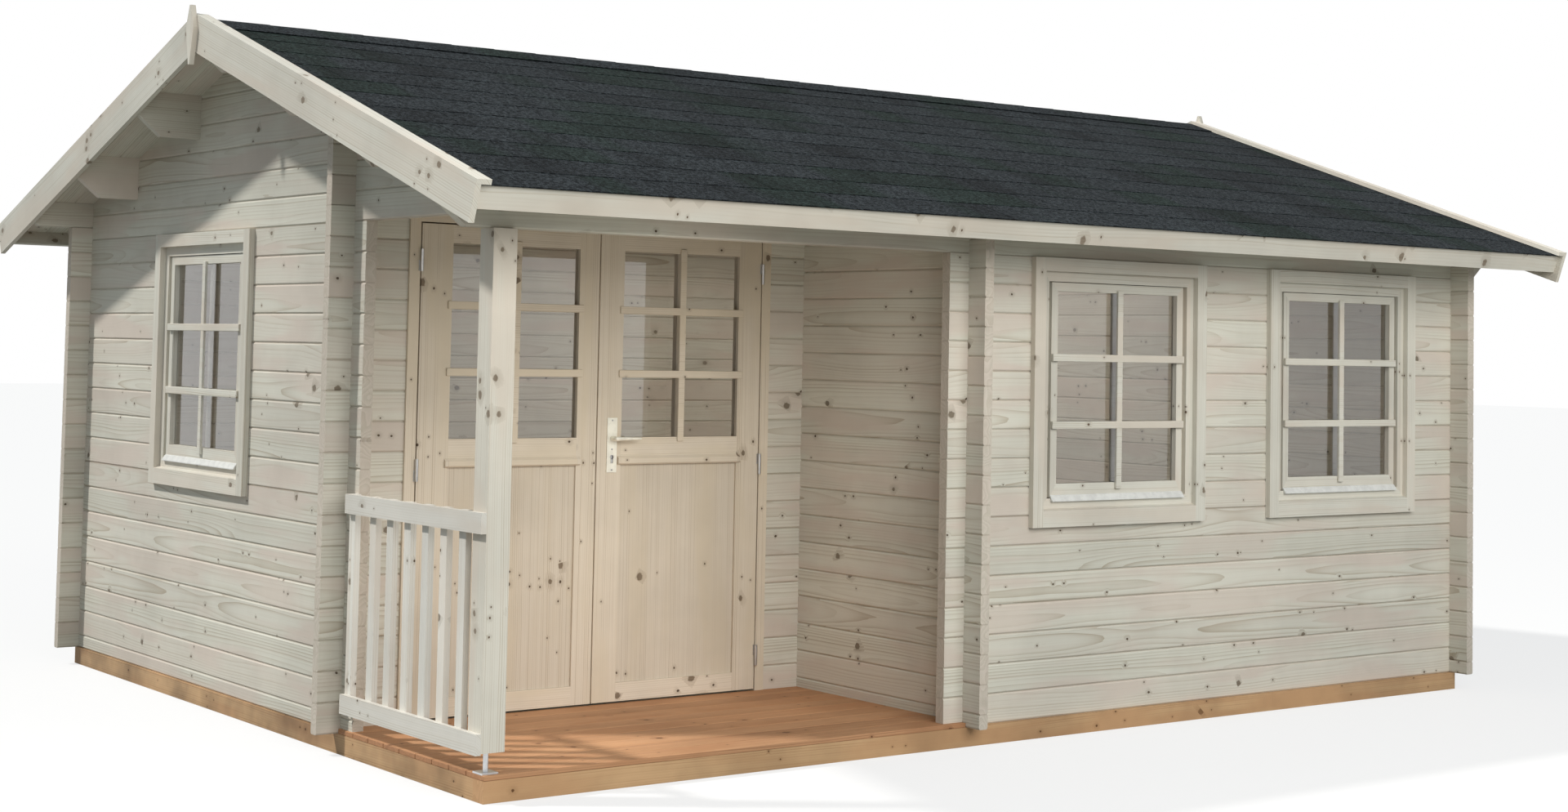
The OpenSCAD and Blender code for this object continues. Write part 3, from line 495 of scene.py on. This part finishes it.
def makeWood(name, palette, axes, knots, lines, live=0.12, soil=0.12, end=None, paintGrooveShade=False):
    tree, shader = newMaterial(name)
    spot, xyz = objectXyz(tree)
    along, across, depth, seed = axes(tree, xyz)
    values = {"Vector": joinXyz(tree, along, across, depth), "Seed": seed,
              "Knot share": knots, "Live share": live, "Line strength": lines}
    figure = addNode(tree, "ShaderNodeGroup", {"node_tree": boardFigure}, {**palette, **values}).outputs
    colour = figure["Color"]
    if end is not None:  # end grain is darker and shows rings
        facing = splitXyz(tree, addNode(tree, "ShaderNodeNewGeometry").outputs["Normal"])[end]
        endMask = smoothBand(tree, calc(tree, "ABSOLUTE", facing), *woodForm["endBand"])
        cloud = noise(tree, spot, woodForm["endNoise"], 1.0)
        rings = calc(tree, "FRACT", times(tree, cloud, woodForm["endRings"]))
        rings = times(tree, rings, woodForm["endLate"])
        endColour = mixColour(tree, rings, palette["Heart"], palette["Late"])
        colour = mixColour(tree, times(tree, endMask, woodForm["endShare"]), colour, endColour)
    if paintGrooveShade:  # painted shade: the V joints are painted darker along each log edge
        edge = smoothBand(tree, calc(tree, "ABSOLUTE", across), *logForm["groove"])
        colour = mixColour(tree, edge, colour, logForm["grooveShadeColour"])
    tree.links.new(soiled(tree, colour, woodForm["soilScale"], soil)["Color"], shader.inputs["Base Color"])
    tree.links.new(figure["Roughness"], shader.inputs["Roughness"])
    shader.inputs["Specular IOR Level"].default_value = woodForm["specular"]
    addRelief(tree, shader, figure["Height"], *woodForm["relief"])


for woodName, look in woodLook.items():
    makeWood(woodName, **look)
print("woods made")

# roof felt: mineral grit on bitumen, each tab with its own tone, some rows dusted green or dark
feltLook = {
    "dark": (0.004, 0.005, 0.006, 1), "light": (0.043, 0.051, 0.0560, 1),
    "green": (0.0120, 0.0205, 0.0165, 1),
    "grit": (62.0, 4.0, 0.85), "fine": (340.0, 2.0, 0.6), "fineShare": 0.35, "speck": (0.46, 0.57),
    "greenGrit": (0.25, 1.90), "greenSpread": (1.6, 0.36), "greenBand": (0.50, 0.60), "greenAmount": 0.72,
    "darkSpread": (2.4, 7.3), "darkBand": (0.52, 0.70), "darkAmount": 0.38, "tabTones": (0.24, 0.87),
    "rough": (0.12, 0.86), "specular": 0.06, "relief": (0.6, 0.0015),
}


def makeFelt():
    tree, shader = newMaterial("mineralFelt")
    spot, xyz = objectXyz(tree)
    tone, row = attribute(tree, "tabTone"), attribute(tree, "tabRow")
    grit = noise(tree, spot, *feltLook["grit"])
    fine = noise(tree, spot, *feltLook["fine"])
    speck = fit(tree, fine, feltLook["fineShare"], times(tree, grit, 1.0 - feltLook["fineShare"]))

    def alongRows(spread, level):
        return joinXyz(tree, times(tree, xyz[0], spread[0]), times(tree, row, spread[1]), level)

    colour = mixColour(tree, smoothBand(tree, speck, *feltLook["speck"]), feltLook["dark"], feltLook["light"])
    wide = noise(tree, alongRows(feltLook["greenSpread"], 0.0), 1.0)
    green = smoothBand(tree, wide, *feltLook["greenBand"], 0.0, feltLook["greenAmount"])
    gritty = smoothBand(tree, speck, *feltLook["speck"], *feltLook["greenGrit"])
    colour = mixColour(tree, green, colour, dimmed(tree, feltLook["green"], gritty))
    blend = noise(tree, alongRows(feltLook["darkSpread"], 4.0), 1.0, 1.0)
    shade = smoothBand(tree, blend, *feltLook["darkBand"], 0.0, feltLook["darkAmount"])
    level = times(tree, fit(tree, tone, *feltLook["tabTones"]), minus(tree, 1.0, shade))
    tree.links.new(dimmed(tree, colour, level), shader.inputs["Base Color"])
    tree.links.new(fit(tree, grit, *feltLook["rough"]), shader.inputs["Roughness"])
    shader.inputs["Specular IOR Level"].default_value = feltLook["specular"]
    addRelief(tree, shader, speck, *feltLook["relief"])


# glass and metals
glassLook = {"tint": (0.93, 0.93, 0.93, 1), "ior": 1.70, "clear": 1.0, "mirror": 0.0, "soil": (2.5, 0.05),
             "haze": 0.02, "ripple": 3.0, "relief": (0.06, 0.002)}
metalForm = {"streak": (60.0, 60.0, 900.0), "brushed": 0.08, "soil": (28.0, 0.14)}
metalLook = {
    "hingeSteel": {"colour": (0.62, 0.61, 0.59, 1), "metallic": 1.0, "rough": 0.36},
    "handleAlloy": {"colour": (0.95, 0.92, 0.80, 1), "metallic": 0.15, "rough": 0.36},
    "footZinc": {"colour": (0.66, 0.67, 0.68, 1), "metallic": 1.0, "rough": 0.42},
    "dripPaint": {"colour": (0.70, 0.70, 0.67, 1), "metallic": 0.0, "rough": 0.42},
    # painted shade: black for the thin sheets laid in the keyway and screw slots
    "slotShadeBlack": {"colour": (0.03, 0.03, 0.03, 1), "metallic": 0.0, "rough": 0.6},
}


def makeGlass():
    tree, shader = newMaterial("windowGlass")
    spot = addNode(tree, "ShaderNodeTexCoord").outputs["Object"]
    tint = soiled(tree, glassLook["tint"], *glassLook["soil"])
    tree.links.new(tint["Color"], shader.inputs["Base Color"])
    shader.inputs["Transmission Weight"].default_value = glassLook["clear"]
    shader.inputs["Metallic"].default_value = glassLook["mirror"]
    shader.inputs["IOR"].default_value = glassLook["ior"]
    tree.links.new(times(tree, tint["Mask"], glassLook["haze"]), shader.inputs["Roughness"])
    addRelief(tree, shader, noise(tree, spot, glassLook["ripple"], 1.0), *glassLook["relief"])


def makeMetal(name, colour, metallic, rough):
    tree, shader = newMaterial(name)
    spot = addNode(tree, "ShaderNodeTexCoord").outputs["Object"]
    streak = grainNoise(tree, spot, metalForm["streak"])
    brushed = metalForm["brushed"]
    tree.links.new(soiled(tree, colour, *metalForm["soil"])["Color"], shader.inputs["Base Color"])
    shader.inputs["Metallic"].default_value = metallic
    tree.links.new(fit(tree, streak, brushed * 2, rough - brushed), shader.inputs["Roughness"])


makeFelt()
makeGlass()
for metalName, look in metalLook.items():
    makeMetal(metalName, **look)
print("felt, glass and metals made")

nodeFinishes = {
    "sillWoodX": ("long_sills",), "sillWoodY": ("floor_bearers",),
    "floorWood": ("room_floor",), "deckWood": ("porch_deck",),
    "logsAlongX": ("front_wall_low", "front_wall_piers", "front_plate", "rear_wall", "rear_plate",
                   "door_wall_piers", "door_wall_top"),
    "logsAlongY": ("left_gable_low", "left_gable_piers", "left_gable_top", "right_gable_wall",
                   "right_gable_top", "porch_side_wall"),
    "purlinWood": ("purlins",), "roofWood": ("front_roof_boards", "rear_roof_boards"),
    "mineralFelt": ("front_shingles", "rear_shingles", "ridge_shingles"),
    "fasciaWood": ("eave_fascias",), "bargeWood": ("barge_boards", "cover_battens"),
    "uprightWood": ("gable_finials", "porch_post"), "footZinc": ("post_foot",),
    "railingWood": ("balustrade",),
    "windowPostWood": ("window_posts", "casing_sides"), "railWood": ("window_rails", "casing_rails"),
    "windowGlass": ("window_panes", "left_door_pane", "right_door_pane"), "dripPaint": ("window_drips",),
    "jambWood": ("door_jambs",), "doorHeadWood": ("door_head",),
    "leafWood": ("left_door_leaf", "right_door_leaf"),
    "hingeSteel": ("frame_hinges", "left_leaf_hinges", "right_leaf_hinges"),
    "handleAlloy": ("handle_plates", "door_lever"),
}
finished = set()
for finishName, nodeNames in nodeFinishes.items():
    for nodeName in nodeNames:
        slots = nodes[nodeName].data.materials
        slots.clear()
        slots.append(finishes[finishName])
    finished.update(nodeNames)
print("node finishes set,", len(set(nodes) - finished), "left over")


# mesh helpers
def block(bm, xs, ys, zs, bevel=0.0, place=None, segments=2):
    low, high = (Vector(corner) for corner in zip(*(sorted(pair) for pair in (xs, ys, zs))))
    made = bmesh.ops.create_cube(bm, size=1.0)["verts"]
    bmesh.ops.scale(bm, vec=high - low, verts=made)
    bmesh.ops.translate(bm, vec=(low + high) / 2, verts=made)
    if bevel:
        edges = list({edge for vert in made for edge in vert.link_edges})
        done = bmesh.ops.bevel(bm, geom=edges, offset=bevel, segments=segments, profile=0.5, affect="EDGES",
                               material=-1)
        made = list({vert for face in done["faces"] for vert in face.verts})
    if place is not None:
        bmesh.ops.transform(bm, matrix=place, verts=made)
    return made


def facesOf(verts):
    return {face for vert in verts for face in vert.link_faces}


def disc(bm, radius, length, place, sides, bevel):  # its rim is rounded on the outer side
    made = bmesh.ops.create_cone(bm, cap_ends=True, segments=sides, radius1=radius, radius2=radius,
                                 depth=length)["verts"]
    rims = [edge for edge in {edge for vert in made for edge in vert.link_edges}
            if all(vert.co.z > 0 for vert in edge.verts)]
    done = bmesh.ops.bevel(bm, geom=rims, offset=bevel, segments=2, profile=0.5, affect="EDGES", material=-1)
    made = {vert for vert in made if vert.is_valid} | {vert for face in done["faces"] for vert in face.verts}
    bmesh.ops.transform(bm, matrix=place, verts=list(made))


def finishPiece(bm, name, finish, body, stands=(), smooth=None):
    bmesh.ops.recalc_face_normals(bm, faces=bm.faces)
    mesh = bpy.data.meshes.new(name)
    bm.to_mesh(mesh)
    bm.free()
    if smooth is not None:
        mesh.polygons.foreach_set("use_smooth", [True] * len(mesh.polygons))
        mesh.set_sharp_from_angle(angle=math.radians(smooth))
    mesh.materials.append(finishes[finish])
    piece = bpy.data.objects.new(name, mesh)
    bpy.context.scene.collection.objects.link(piece)
    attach(piece, body)
    if stands:
        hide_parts(*stands)


def slopePlace(rear):
    place = Matrix.Translation((0, 0, roofForm["ridge"])) @ Matrix.Rotation(roofForm["pitch"], 4, "X")
    return Matrix.Rotation(math.pi, 4, "Z") @ place if rear else place


def trimAtRidge(bm, rear):
    side = 1 if rear else -1
    cut = bmesh.ops.bisect_plane(bm, geom=bm.verts[:] + bm.edges[:] + bm.faces[:], clear_outer=True,
                                 plane_co=(0, side * roofForm["ridgeGap"], 0), plane_no=(0, -side, 0))
    rim = [part for part in cut["geom_cut"] if isinstance(part, bmesh.types.BMEdge)]
    bmesh.ops.edgeloop_fill(bm, edges=rim)


# deck and floor boards
deckForm = {"low": (-2.583, -1.936, 0.074), "high": (-0.473, -0.857, 0.092), "count": 9, "gap": 0.003,
            "round": 0.0025, "seed": 11}
floorForm = {"count": 31, "gap": 0.0012, "round": 0.0012, "frontRow": -0.813, "porchX": -0.429, "seed": 40}


def makeDeck():
    bm = bmesh.new()
    seed = bm.faces.layers.float.new("boardSeed")
    low, high = Vector(deckForm["low"]), Vector(deckForm["high"])
    count, gap = deckForm["count"], deckForm["gap"]
    pitch = (high.y - low.y) / count
    for i in range(count):
        start = low.y + i * pitch + (gap / 2 if i else 0)
        stop = low.y + (i + 1) * pitch - (gap / 2 if i < count - 1 else 0)
        made = block(bm, (low.x, high.x), (start, stop), (low.z, high.z), deckForm["round"])
        for face in facesOf(made):
            face[seed] = deckForm["seed"] + i
    finishPiece(bm, "deckBoards", "deckWood", "house", ["porch_deck"])


def makeFloor():
    bm = bmesh.new()
    seed = bm.faces.layers.float.new("boardSeed")
    low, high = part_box("room_floor")
    gap = floorForm["gap"]
    pitch = (high.y - low.y) / floorForm["count"]
    for i in range(floorForm["count"]):
        start, stop = low.y + i * pitch + gap / 2, low.y + (i + 1) * pitch - gap / 2
        left = low.x if start > floorForm["frontRow"] else floorForm["porchX"]
        made = block(bm, (left, high.x), (start, stop), (low.z, high.z), floorForm["round"], segments=1)
        for face in facesOf(made):
            face[seed] = floorForm["seed"] + i
    finishPiece(bm, "floorBoards", "floorWood", "house", ["room_floor"])


makeDeck()
makeFloor()
print("deck and floor laid")

# roof boards, felt courses and ridge caps
roofBoardForm = {"count": 60, "gap": 0.0008, "joint": 0.0035, "past": 0.02, "seed": 100, "rearSeed": 70}
courseForm = {
    "exposure": 0.210, "lap": 0.03, "thick": 0.0028, "lift": 0.0022, "liftZone": 0.01, "ragged": 0.003,
    "slit": 0.0035, "widths": (0.22, 0.56), "startShift": 0.3, "leastWidth": 0.02,
    "seat": 0.0003, "bed": 0.0002, "underlay": 0.0012, "underlayInset": 0.004, "rearRows": 40, "seed": 7,
}
capForm = {"count": 27, "length": 0.26, "thick": 0.0018, "rise": 0.0020, "reach": 0.150, "seat": 0.0003,
           "seed": 5}


def makeRoofBoards(rear):
    bm = bmesh.new()
    seed = bm.faces.layers.float.new("boardSeed")
    low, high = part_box("front_roof_boards")
    pitch = (high.x - low.x) / roofBoardForm["count"]
    run = (-roofForm["eaveRun"] + roofForm["fasciaT"], roofBoardForm["past"])
    for i in range(roofBoardForm["count"]):
        start = low.x + i * pitch + roofBoardForm["gap"] / 2
        made = block(bm, (start, start + pitch - roofBoardForm["gap"]), run, (0, roofForm["boardT"]))
        joints = [edge for edge in {edge for vert in made for edge in vert.link_edges}
                  if all(vert.co.z < 0.001 for vert in edge.verts)
                  and abs(edge.verts[0].co.x - edge.verts[1].co.x) < 1e-5]  # the lower long edges
        done = bmesh.ops.bevel(bm, geom=joints, offset=roofBoardForm["joint"], segments=1, profile=0.5,
                               affect="EDGES", material=-1)
        shaped = {vert for face in done["faces"] for vert in face.verts}
        shaped |= {vert for face in facesOf(shaped) for vert in face.verts}
        for face in facesOf(shaped):
            face[seed] = roofBoardForm["seed"] + i + roofBoardForm["rearSeed"] * rear
    bmesh.ops.transform(bm, matrix=slopePlace(rear), verts=bm.verts)
    trimAtRidge(bm, rear)
    name = "rearRoofBoards" if rear else "frontRoofBoards"
    stands = "rear_roof_boards" if rear else "front_roof_boards"
    finishPiece(bm, name, "roofWood", "house", [stands])


def makeCourses(rear):
    form = courseForm
    dice = random.Random(form["seed"] + rear)
    bm = bmesh.new()
    toneLayer = bm.faces.layers.float.new("tabTone")
    rowLayer = bm.faces.layers.float.new("tabRow")
    low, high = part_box("front_shingles")
    bottom = roofForm["eaveRun"] + roofForm["drip"]
    base = roofForm["boardT"] + form["seat"]
    block(bm, (low.x, high.x), (-bottom + form["underlayInset"], 0.0), (base, base + form["underlay"]))
    bed = base + form["bed"]
    course, start = 0, bottom
    while start > 0.0:
        lower, upper = start, max(start - form["exposure"] - form["lap"], 0.0)
        x = low.x - dice.uniform(0.0, form["startShift"])
        while x < high.x:
            width = dice.uniform(*form["widths"])
            left, right = max(x + form["slit"] / 2, low.x), min(x + width - form["slit"] / 2, high.x)
            x += width
            if right - left < form["leastWidth"]:
                continue
            drop = dice.uniform(-form["ragged"], form["ragged"]) if course else 0.0
            made = block(bm, (left, right), (-lower + drop, -upper), (bed, bed + form["thick"]))
            lifted = [vert for vert in made if vert.co.y < -lower + form["liftZone"]]
            bmesh.ops.translate(bm, vec=(0, 0, form["lift"]), verts=lifted)
            tone = dice.random()
            for face in facesOf(made):
                face[toneLayer] = tone
                face[rowLayer] = course + form["rearRows"] * rear
        start -= form["exposure"]
        course += 1
    bmesh.ops.transform(bm, matrix=slopePlace(rear), verts=bm.verts)
    name = "rearFeltCourses" if rear else "frontFeltCourses"
    stands = "rear_shingles" if rear else "front_shingles"
    finishPiece(bm, name, "mineralFelt", "house", [stands])


def makeRidgeCaps():
    dice = random.Random(capForm["seed"])
    bm = bmesh.new()
    toneLayer = bm.faces.layers.float.new("tabTone")
    low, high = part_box("ridge_shingles")
    cosine, sine = math.cos(roofForm["pitch"]), math.sin(roofForm["pitch"])
    reach, under = capForm["reach"], roofForm["topT"] + capForm["seat"]
    over = under + capForm["thick"]
    exposure = (high.x - low.x - capForm["length"]) / (capForm["count"] - 1)
    for i in range(capForm["count"]):
        outline = []
        for s, t in ((reach, under), (0, under), (-reach, under), (-reach, over), (0, over), (reach, over)):
            y = -(abs(s) * cosine + (t * sine if s else 0)) * (1 if s >= 0 else -1)
            z = roofForm["ridge"] - abs(s) * sine + (t * cosine if s else t / cosine)
            outline.append(bm.verts.new((low.x + i * exposure, y, z)))
        face = bm.faces.new(outline)
        grown = bmesh.ops.extrude_face_region(bm, geom=[face])["geom"]
        tip = [part for part in grown if isinstance(part, bmesh.types.BMVert)]
        bmesh.ops.translate(bm, vec=(capForm["length"], 0, capForm["rise"]), verts=tip)
        tone = dice.random()
        for part in facesOf(outline + tip):
            part[toneLayer] = tone
    finishPiece(bm, "ridgeCaps", "mineralFelt", "house", ["ridge_shingles"])


for onRear in (False, True):
    makeRoofBoards(onRear)
    makeCourses(onRear)
makeRidgeCaps()
print("roof covered")

# window bars, outside and inside
barForm = {"width": 0.030, "proud": 0.013, "lap": 0.034, "headLap": 0.010, "lowLap": 0.026, "inner": 0.003,
           "rows": (0.357, 0.627), "round": 0.0025, "step": 0.001, "seat": 0.0002, "paneGap": 0.0003}


def makeWindowBars():
    bm = bmesh.new()
    half, bar, lap, step = windowForm["half"], barForm["width"] / 2, barForm["lap"], barForm["step"]
    rounding = barForm["round"]
    bottom, top = windowForm["glass"]
    front, seat = windowForm["sashFace"] - barForm["proud"], windowForm["sashFace"] - barForm["seat"]
    inner, back = windowForm["paneBack"] + barForm["paneGap"], windowForm["sashBack"] + barForm["inner"]
    upright = (bottom - barForm["lowLap"], top + barForm["headLap"])
    for x, y, z, turn in windowForm["places"]:
        place = Matrix.Translation((x, y, z)) @ Matrix.Rotation(math.radians(turn), 4, "Z")
        block(bm, (-bar, bar), (front + step, seat), upright, rounding, place)
        block(bm, (-bar, bar), (inner, back), (bottom, top), rounding, place)
        for row in barForm["rows"]:
            block(bm, (-half - lap, half + lap), (front, seat), (row - bar, row + bar), rounding, place)
            block(bm, (-half, half), (inner, back + step), (row - bar, row + bar), rounding, place)
    finishPiece(bm, "windowBars", "railWood", "house")


makeWindowBars()
print("window bars set")

# door stops, the lip between the leaves, door bars, lock and screws, with thin black sheets as painted shade
# in the keyway and screw slots
stopForm = {"cover": 0.012, "clear": 0.0055, "thick": 0.016, "gap": 0.006, "round": 0.002,
            "lip": (0.0043, 0.006, 0.016), "lipRound": 0.001}
doorBarForm = {"width": 0.030, "proud": 0.008, "lap": 0.018, "rows": (1.401, 1.6555), "round": 0.0025,
               "step": 0.001, "seat": 0.0002, "paneGap": 0.0003}
lockForm = {
    "x": -1.4315, "keyZ": 1.069, "proud": 0.003, "plate": 0.005, "smoothAngle": 35,
    "barrel": 0.0085, "barrelSides": 24, "barrelRound": 0.0006,
    "bodyWidth": 0.010, "bodyZ": (-0.024, -0.004), "bodyRound": 0.0008,  # the barrel's lower part, from keyZ
    "keyway": (0.0016, 0.006), "keywayDepth": 0.0004,
    "screws": (1.018, 1.100, 1.215), "screw": 0.0038, "screwSides": 16, "screwHeight": 0.0012,
    "screwRound": 0.0004,
    "groove": (0.0026, 0.0005), "grooveDepth": 0.0002,
}


def makeDoorStops():
    low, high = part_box("left_door_leaf")
    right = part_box("right_door_leaf")[1].x
    bm = bmesh.new()
    front = leafForm["backY"] + stopForm["clear"]
    ys = (front, front + stopForm["thick"])
    base, head, cover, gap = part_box("door_jambs")[0].z, high.z, stopForm["cover"], stopForm["gap"]
    for xs, foot in (((low.x - gap, low.x + cover), base), ((right - cover, right + gap), base),
                     ((low.x + cover, right - cover), head - cover)):
        block(bm, xs, ys, (foot, head + gap), stopForm["round"])
    finishPiece(bm, "doorStops", "jambWood", "house")
    bm = bmesh.new()
    reach, near, far = stopForm["lip"]
    ys = (leafForm["faceY"] + near, leafForm["faceY"] + far)
    block(bm, (high.x, high.x + reach), ys, (low.z, high.z), stopForm["lipRound"])
    finishPiece(bm, "meetingLip", "leafWood", "left_door")


def makeDoorBars(side, body):
    bm = bmesh.new()
    form = doorBarForm
    low, high = leafForm[side]
    bar, lap, middle = form["width"] / 2, form["lap"], (low + high) / 2
    bottom, top = leafForm["glass"]
    paneOut, paneIn = leafForm["paneY"]
    for skin, pane, sign in ((leafForm["faceY"], paneOut, 1), (leafForm["backY"], paneIn, -1)):
        outer, seat = skin - sign * form["proud"], skin - sign * form["seat"]
        stop, step = pane - sign * form["paneGap"], outer + sign * form["step"]
        upright = (middle - bar, middle + bar)
        block(bm, upright, (step, seat), (bottom - lap, top + lap), form["round"])
        block(bm, upright, (seat, stop), (bottom, top))
        for row in form["rows"]:
            block(bm, (low - lap, high + lap), (outer, seat), (row - bar, row + bar), form["round"])
            block(bm, (low, high), (seat, stop), (row - bar, row + bar))
    finishPiece(bm, side + "DoorBars", "doorHeadWood", body)


def makeLock():
    form = lockForm
    x, keyZ = form["x"], form["keyZ"]
    bm = bmesh.new()
    # painted shade: thin black sheets on the barrel and screw heads stand in for the shade in the keyway and
    # slots
    dark = bmesh.new()

    def centred(middle, half):
        return middle - half, middle + half

    for face, sign in ((leafForm["faceY"] - form["plate"], -1), (leafForm["backY"] + form["plate"], 1)):
        turn = Matrix.Rotation(math.radians(90 * -sign), 4, "X")
        skin, screwTop = face + sign * form["proud"], face + sign * form["screwHeight"]
        place = Matrix.Translation((x, (face + skin) / 2, keyZ)) @ turn
        disc(bm, form["barrel"], form["proud"], place, form["barrelSides"], form["barrelRound"])
        body = [keyZ + z for z in form["bodyZ"]]
        block(bm, centred(x, form["bodyWidth"] / 2), (face, skin), body, form["bodyRound"])
        wide, tall = form["keyway"]
        block(dark, centred(x, wide), (skin, skin + sign * form["keywayDepth"]), centred(keyZ, tall))
        wide, tall = form["groove"]
        for z in form["screws"]:
            place = Matrix.Translation((x, (face + screwTop) / 2, z)) @ turn
            disc(bm, form["screw"], form["screwHeight"], place, form["screwSides"], form["screwRound"])
            block(dark, centred(x, wide), (screwTop, screwTop + sign * form["grooveDepth"]), centred(z, tall))
    finishPiece(bm, "lockAndScrews", "hingeSteel", "right_door", smooth=form["smoothAngle"])
    finishPiece(dark, "lockSlotShade", "slotShadeBlack", "right_door")


makeDoorStops()
makeDoorBars("left", "left_door")
makeDoorBars("right", "right_door")
makeLock()
print("doors dressed")

# light, floor and background
lightPlan = {
    "sunWay": (0.547, -0.367, -0.752), "sunPower": 2.85, "sunAngle": 3.5,  # left, a little from behind
    "sunColour": (1.0, 0.98, 0.945), "sky": (0.76, 0.89, 1.0, 1), "skyPower": 0.33,
}
panelPlan = {
    "frontPanel": {"place": (-1.4, -10.0, 5.2), "aim": (-0.2, -1.2, 1.0), "size": (11.0, 6.0), "power": 800.0,
                   "colour": (1.0, 0.98, 0.94)},
    "porchPanel": {"place": (-1.5, -1.90, 1.15), "aim": (-2.0, 0.0, 1.35), "size": (1.7, 1.4), "power": 3.2,
                   "colour": (1.0, 0.96, 0.88)},
    "roomPanel": {"place": (0.7, 0.6, 2.12), "aim": (0.7, 0.6, 0.0), "size": (3.0, 1.4), "power": 24.0,
                  "colour": (1.0, 0.95, 0.87)},
}
floorPlan = {"half": 60, "drop": 0.001, "seen": (0.86, 0.86, 0.85, 1), "bounce": (0.255, 0.26, 0.245, 1),
             "glow": 0.72, "rough": 0.9}


def seenDirectly(tree):
    path = addNode(tree, "ShaderNodeLightPath").outputs
    return largest(tree, (path["Is Camera Ray"], path["Is Glossy Ray"], path["Is Transmission Ray"]))


def addLamp(name, kind, way, power, colour):
    data = bpy.data.lights.new(name, kind)
    data.energy = power
    data.color = colour
    lamp = bpy.data.objects.new(name, data)
    lamp.rotation_euler = Vector(way).to_track_quat("-Z", "Y").to_euler()
    bpy.context.scene.collection.objects.link(lamp)
    return lamp


def makeLight():
    sun = addLamp("softSun", "SUN", lightPlan["sunWay"], lightPlan["sunPower"], lightPlan["sunColour"])
    sun.data.angle = math.radians(lightPlan["sunAngle"])
    for name, plan in panelPlan.items():
        way = Vector(plan["aim"]) - Vector(plan["place"])
        panel = addLamp(name, "AREA", way, plan["power"], plan["colour"])
        panel.location = plan["place"]
        panel.data.shape = "RECTANGLE"
        panel.data.size, panel.data.size_y = plan["size"]
        panel.visible_camera = panel.visible_glossy = panel.visible_transmission = False  # never seen

    world = bpy.data.worlds.new("studio")
    bpy.context.scene.world = world
    world.use_nodes = True
    tree = world.node_tree
    tree.nodes.clear()
    skyLight = {"Color": lightPlan["sky"], "Strength": lightPlan["skyPower"]}
    sky = addNode(tree, "ShaderNodeBackground", None, skyLight).outputs[0]
    white = addNode(tree, "ShaderNodeBackground", None, {"Color": (1, 1, 1, 1), "Strength": 1.0}).outputs[0]
    both = addNode(tree, "ShaderNodeMixShader", None, {0: seenDirectly(tree), 1: sky, 2: white})
    tree.links.new(both.outputs[0], tree.nodes.new("ShaderNodeOutputWorld").inputs[0])


def makeFloorPlane():
    bm = bmesh.new()
    bmesh.ops.create_grid(bm, x_segments=1, y_segments=1, size=floorPlan["half"])
    bmesh.ops.translate(bm, vec=(0, 0, -floorPlan["drop"]), verts=bm.verts)
    mesh = bpy.data.meshes.new("paleFloor")
    bm.to_mesh(mesh)
    bm.free()
    floor = bpy.data.objects.new("paleFloor", mesh)
    bpy.context.scene.collection.objects.link(floor)
    tree, shader = newMaterial("paleFloor")
    seen = seenDirectly(tree)
    tree.links.new(mixColour(tree, seen, floorPlan["bounce"], floorPlan["seen"]), shader.inputs["Base Color"])
    shader.inputs["Roughness"].default_value = floorPlan["rough"]
    shader.inputs["Specular IOR Level"].default_value = 0.0
    glow = addNode(tree, "ShaderNodeEmission", None, {"Color": (1, 1, 1, 1), "Strength": 1.0})
    share = times(tree, seen, floorPlan["glow"])
    both = addNode(tree, "ShaderNodeMixShader", None, {0: share, 1: shader.outputs[0], 2: glow.outputs[0]})
    tree.links.new(both.outputs[0], tree.get_output_node("ALL").inputs[0])
    mesh.materials.append(finishes["paleFloor"])


makeFloorPlane()
makeLight()
bpy.context.scene.view_settings.view_transform = "Standard"
print("light set")
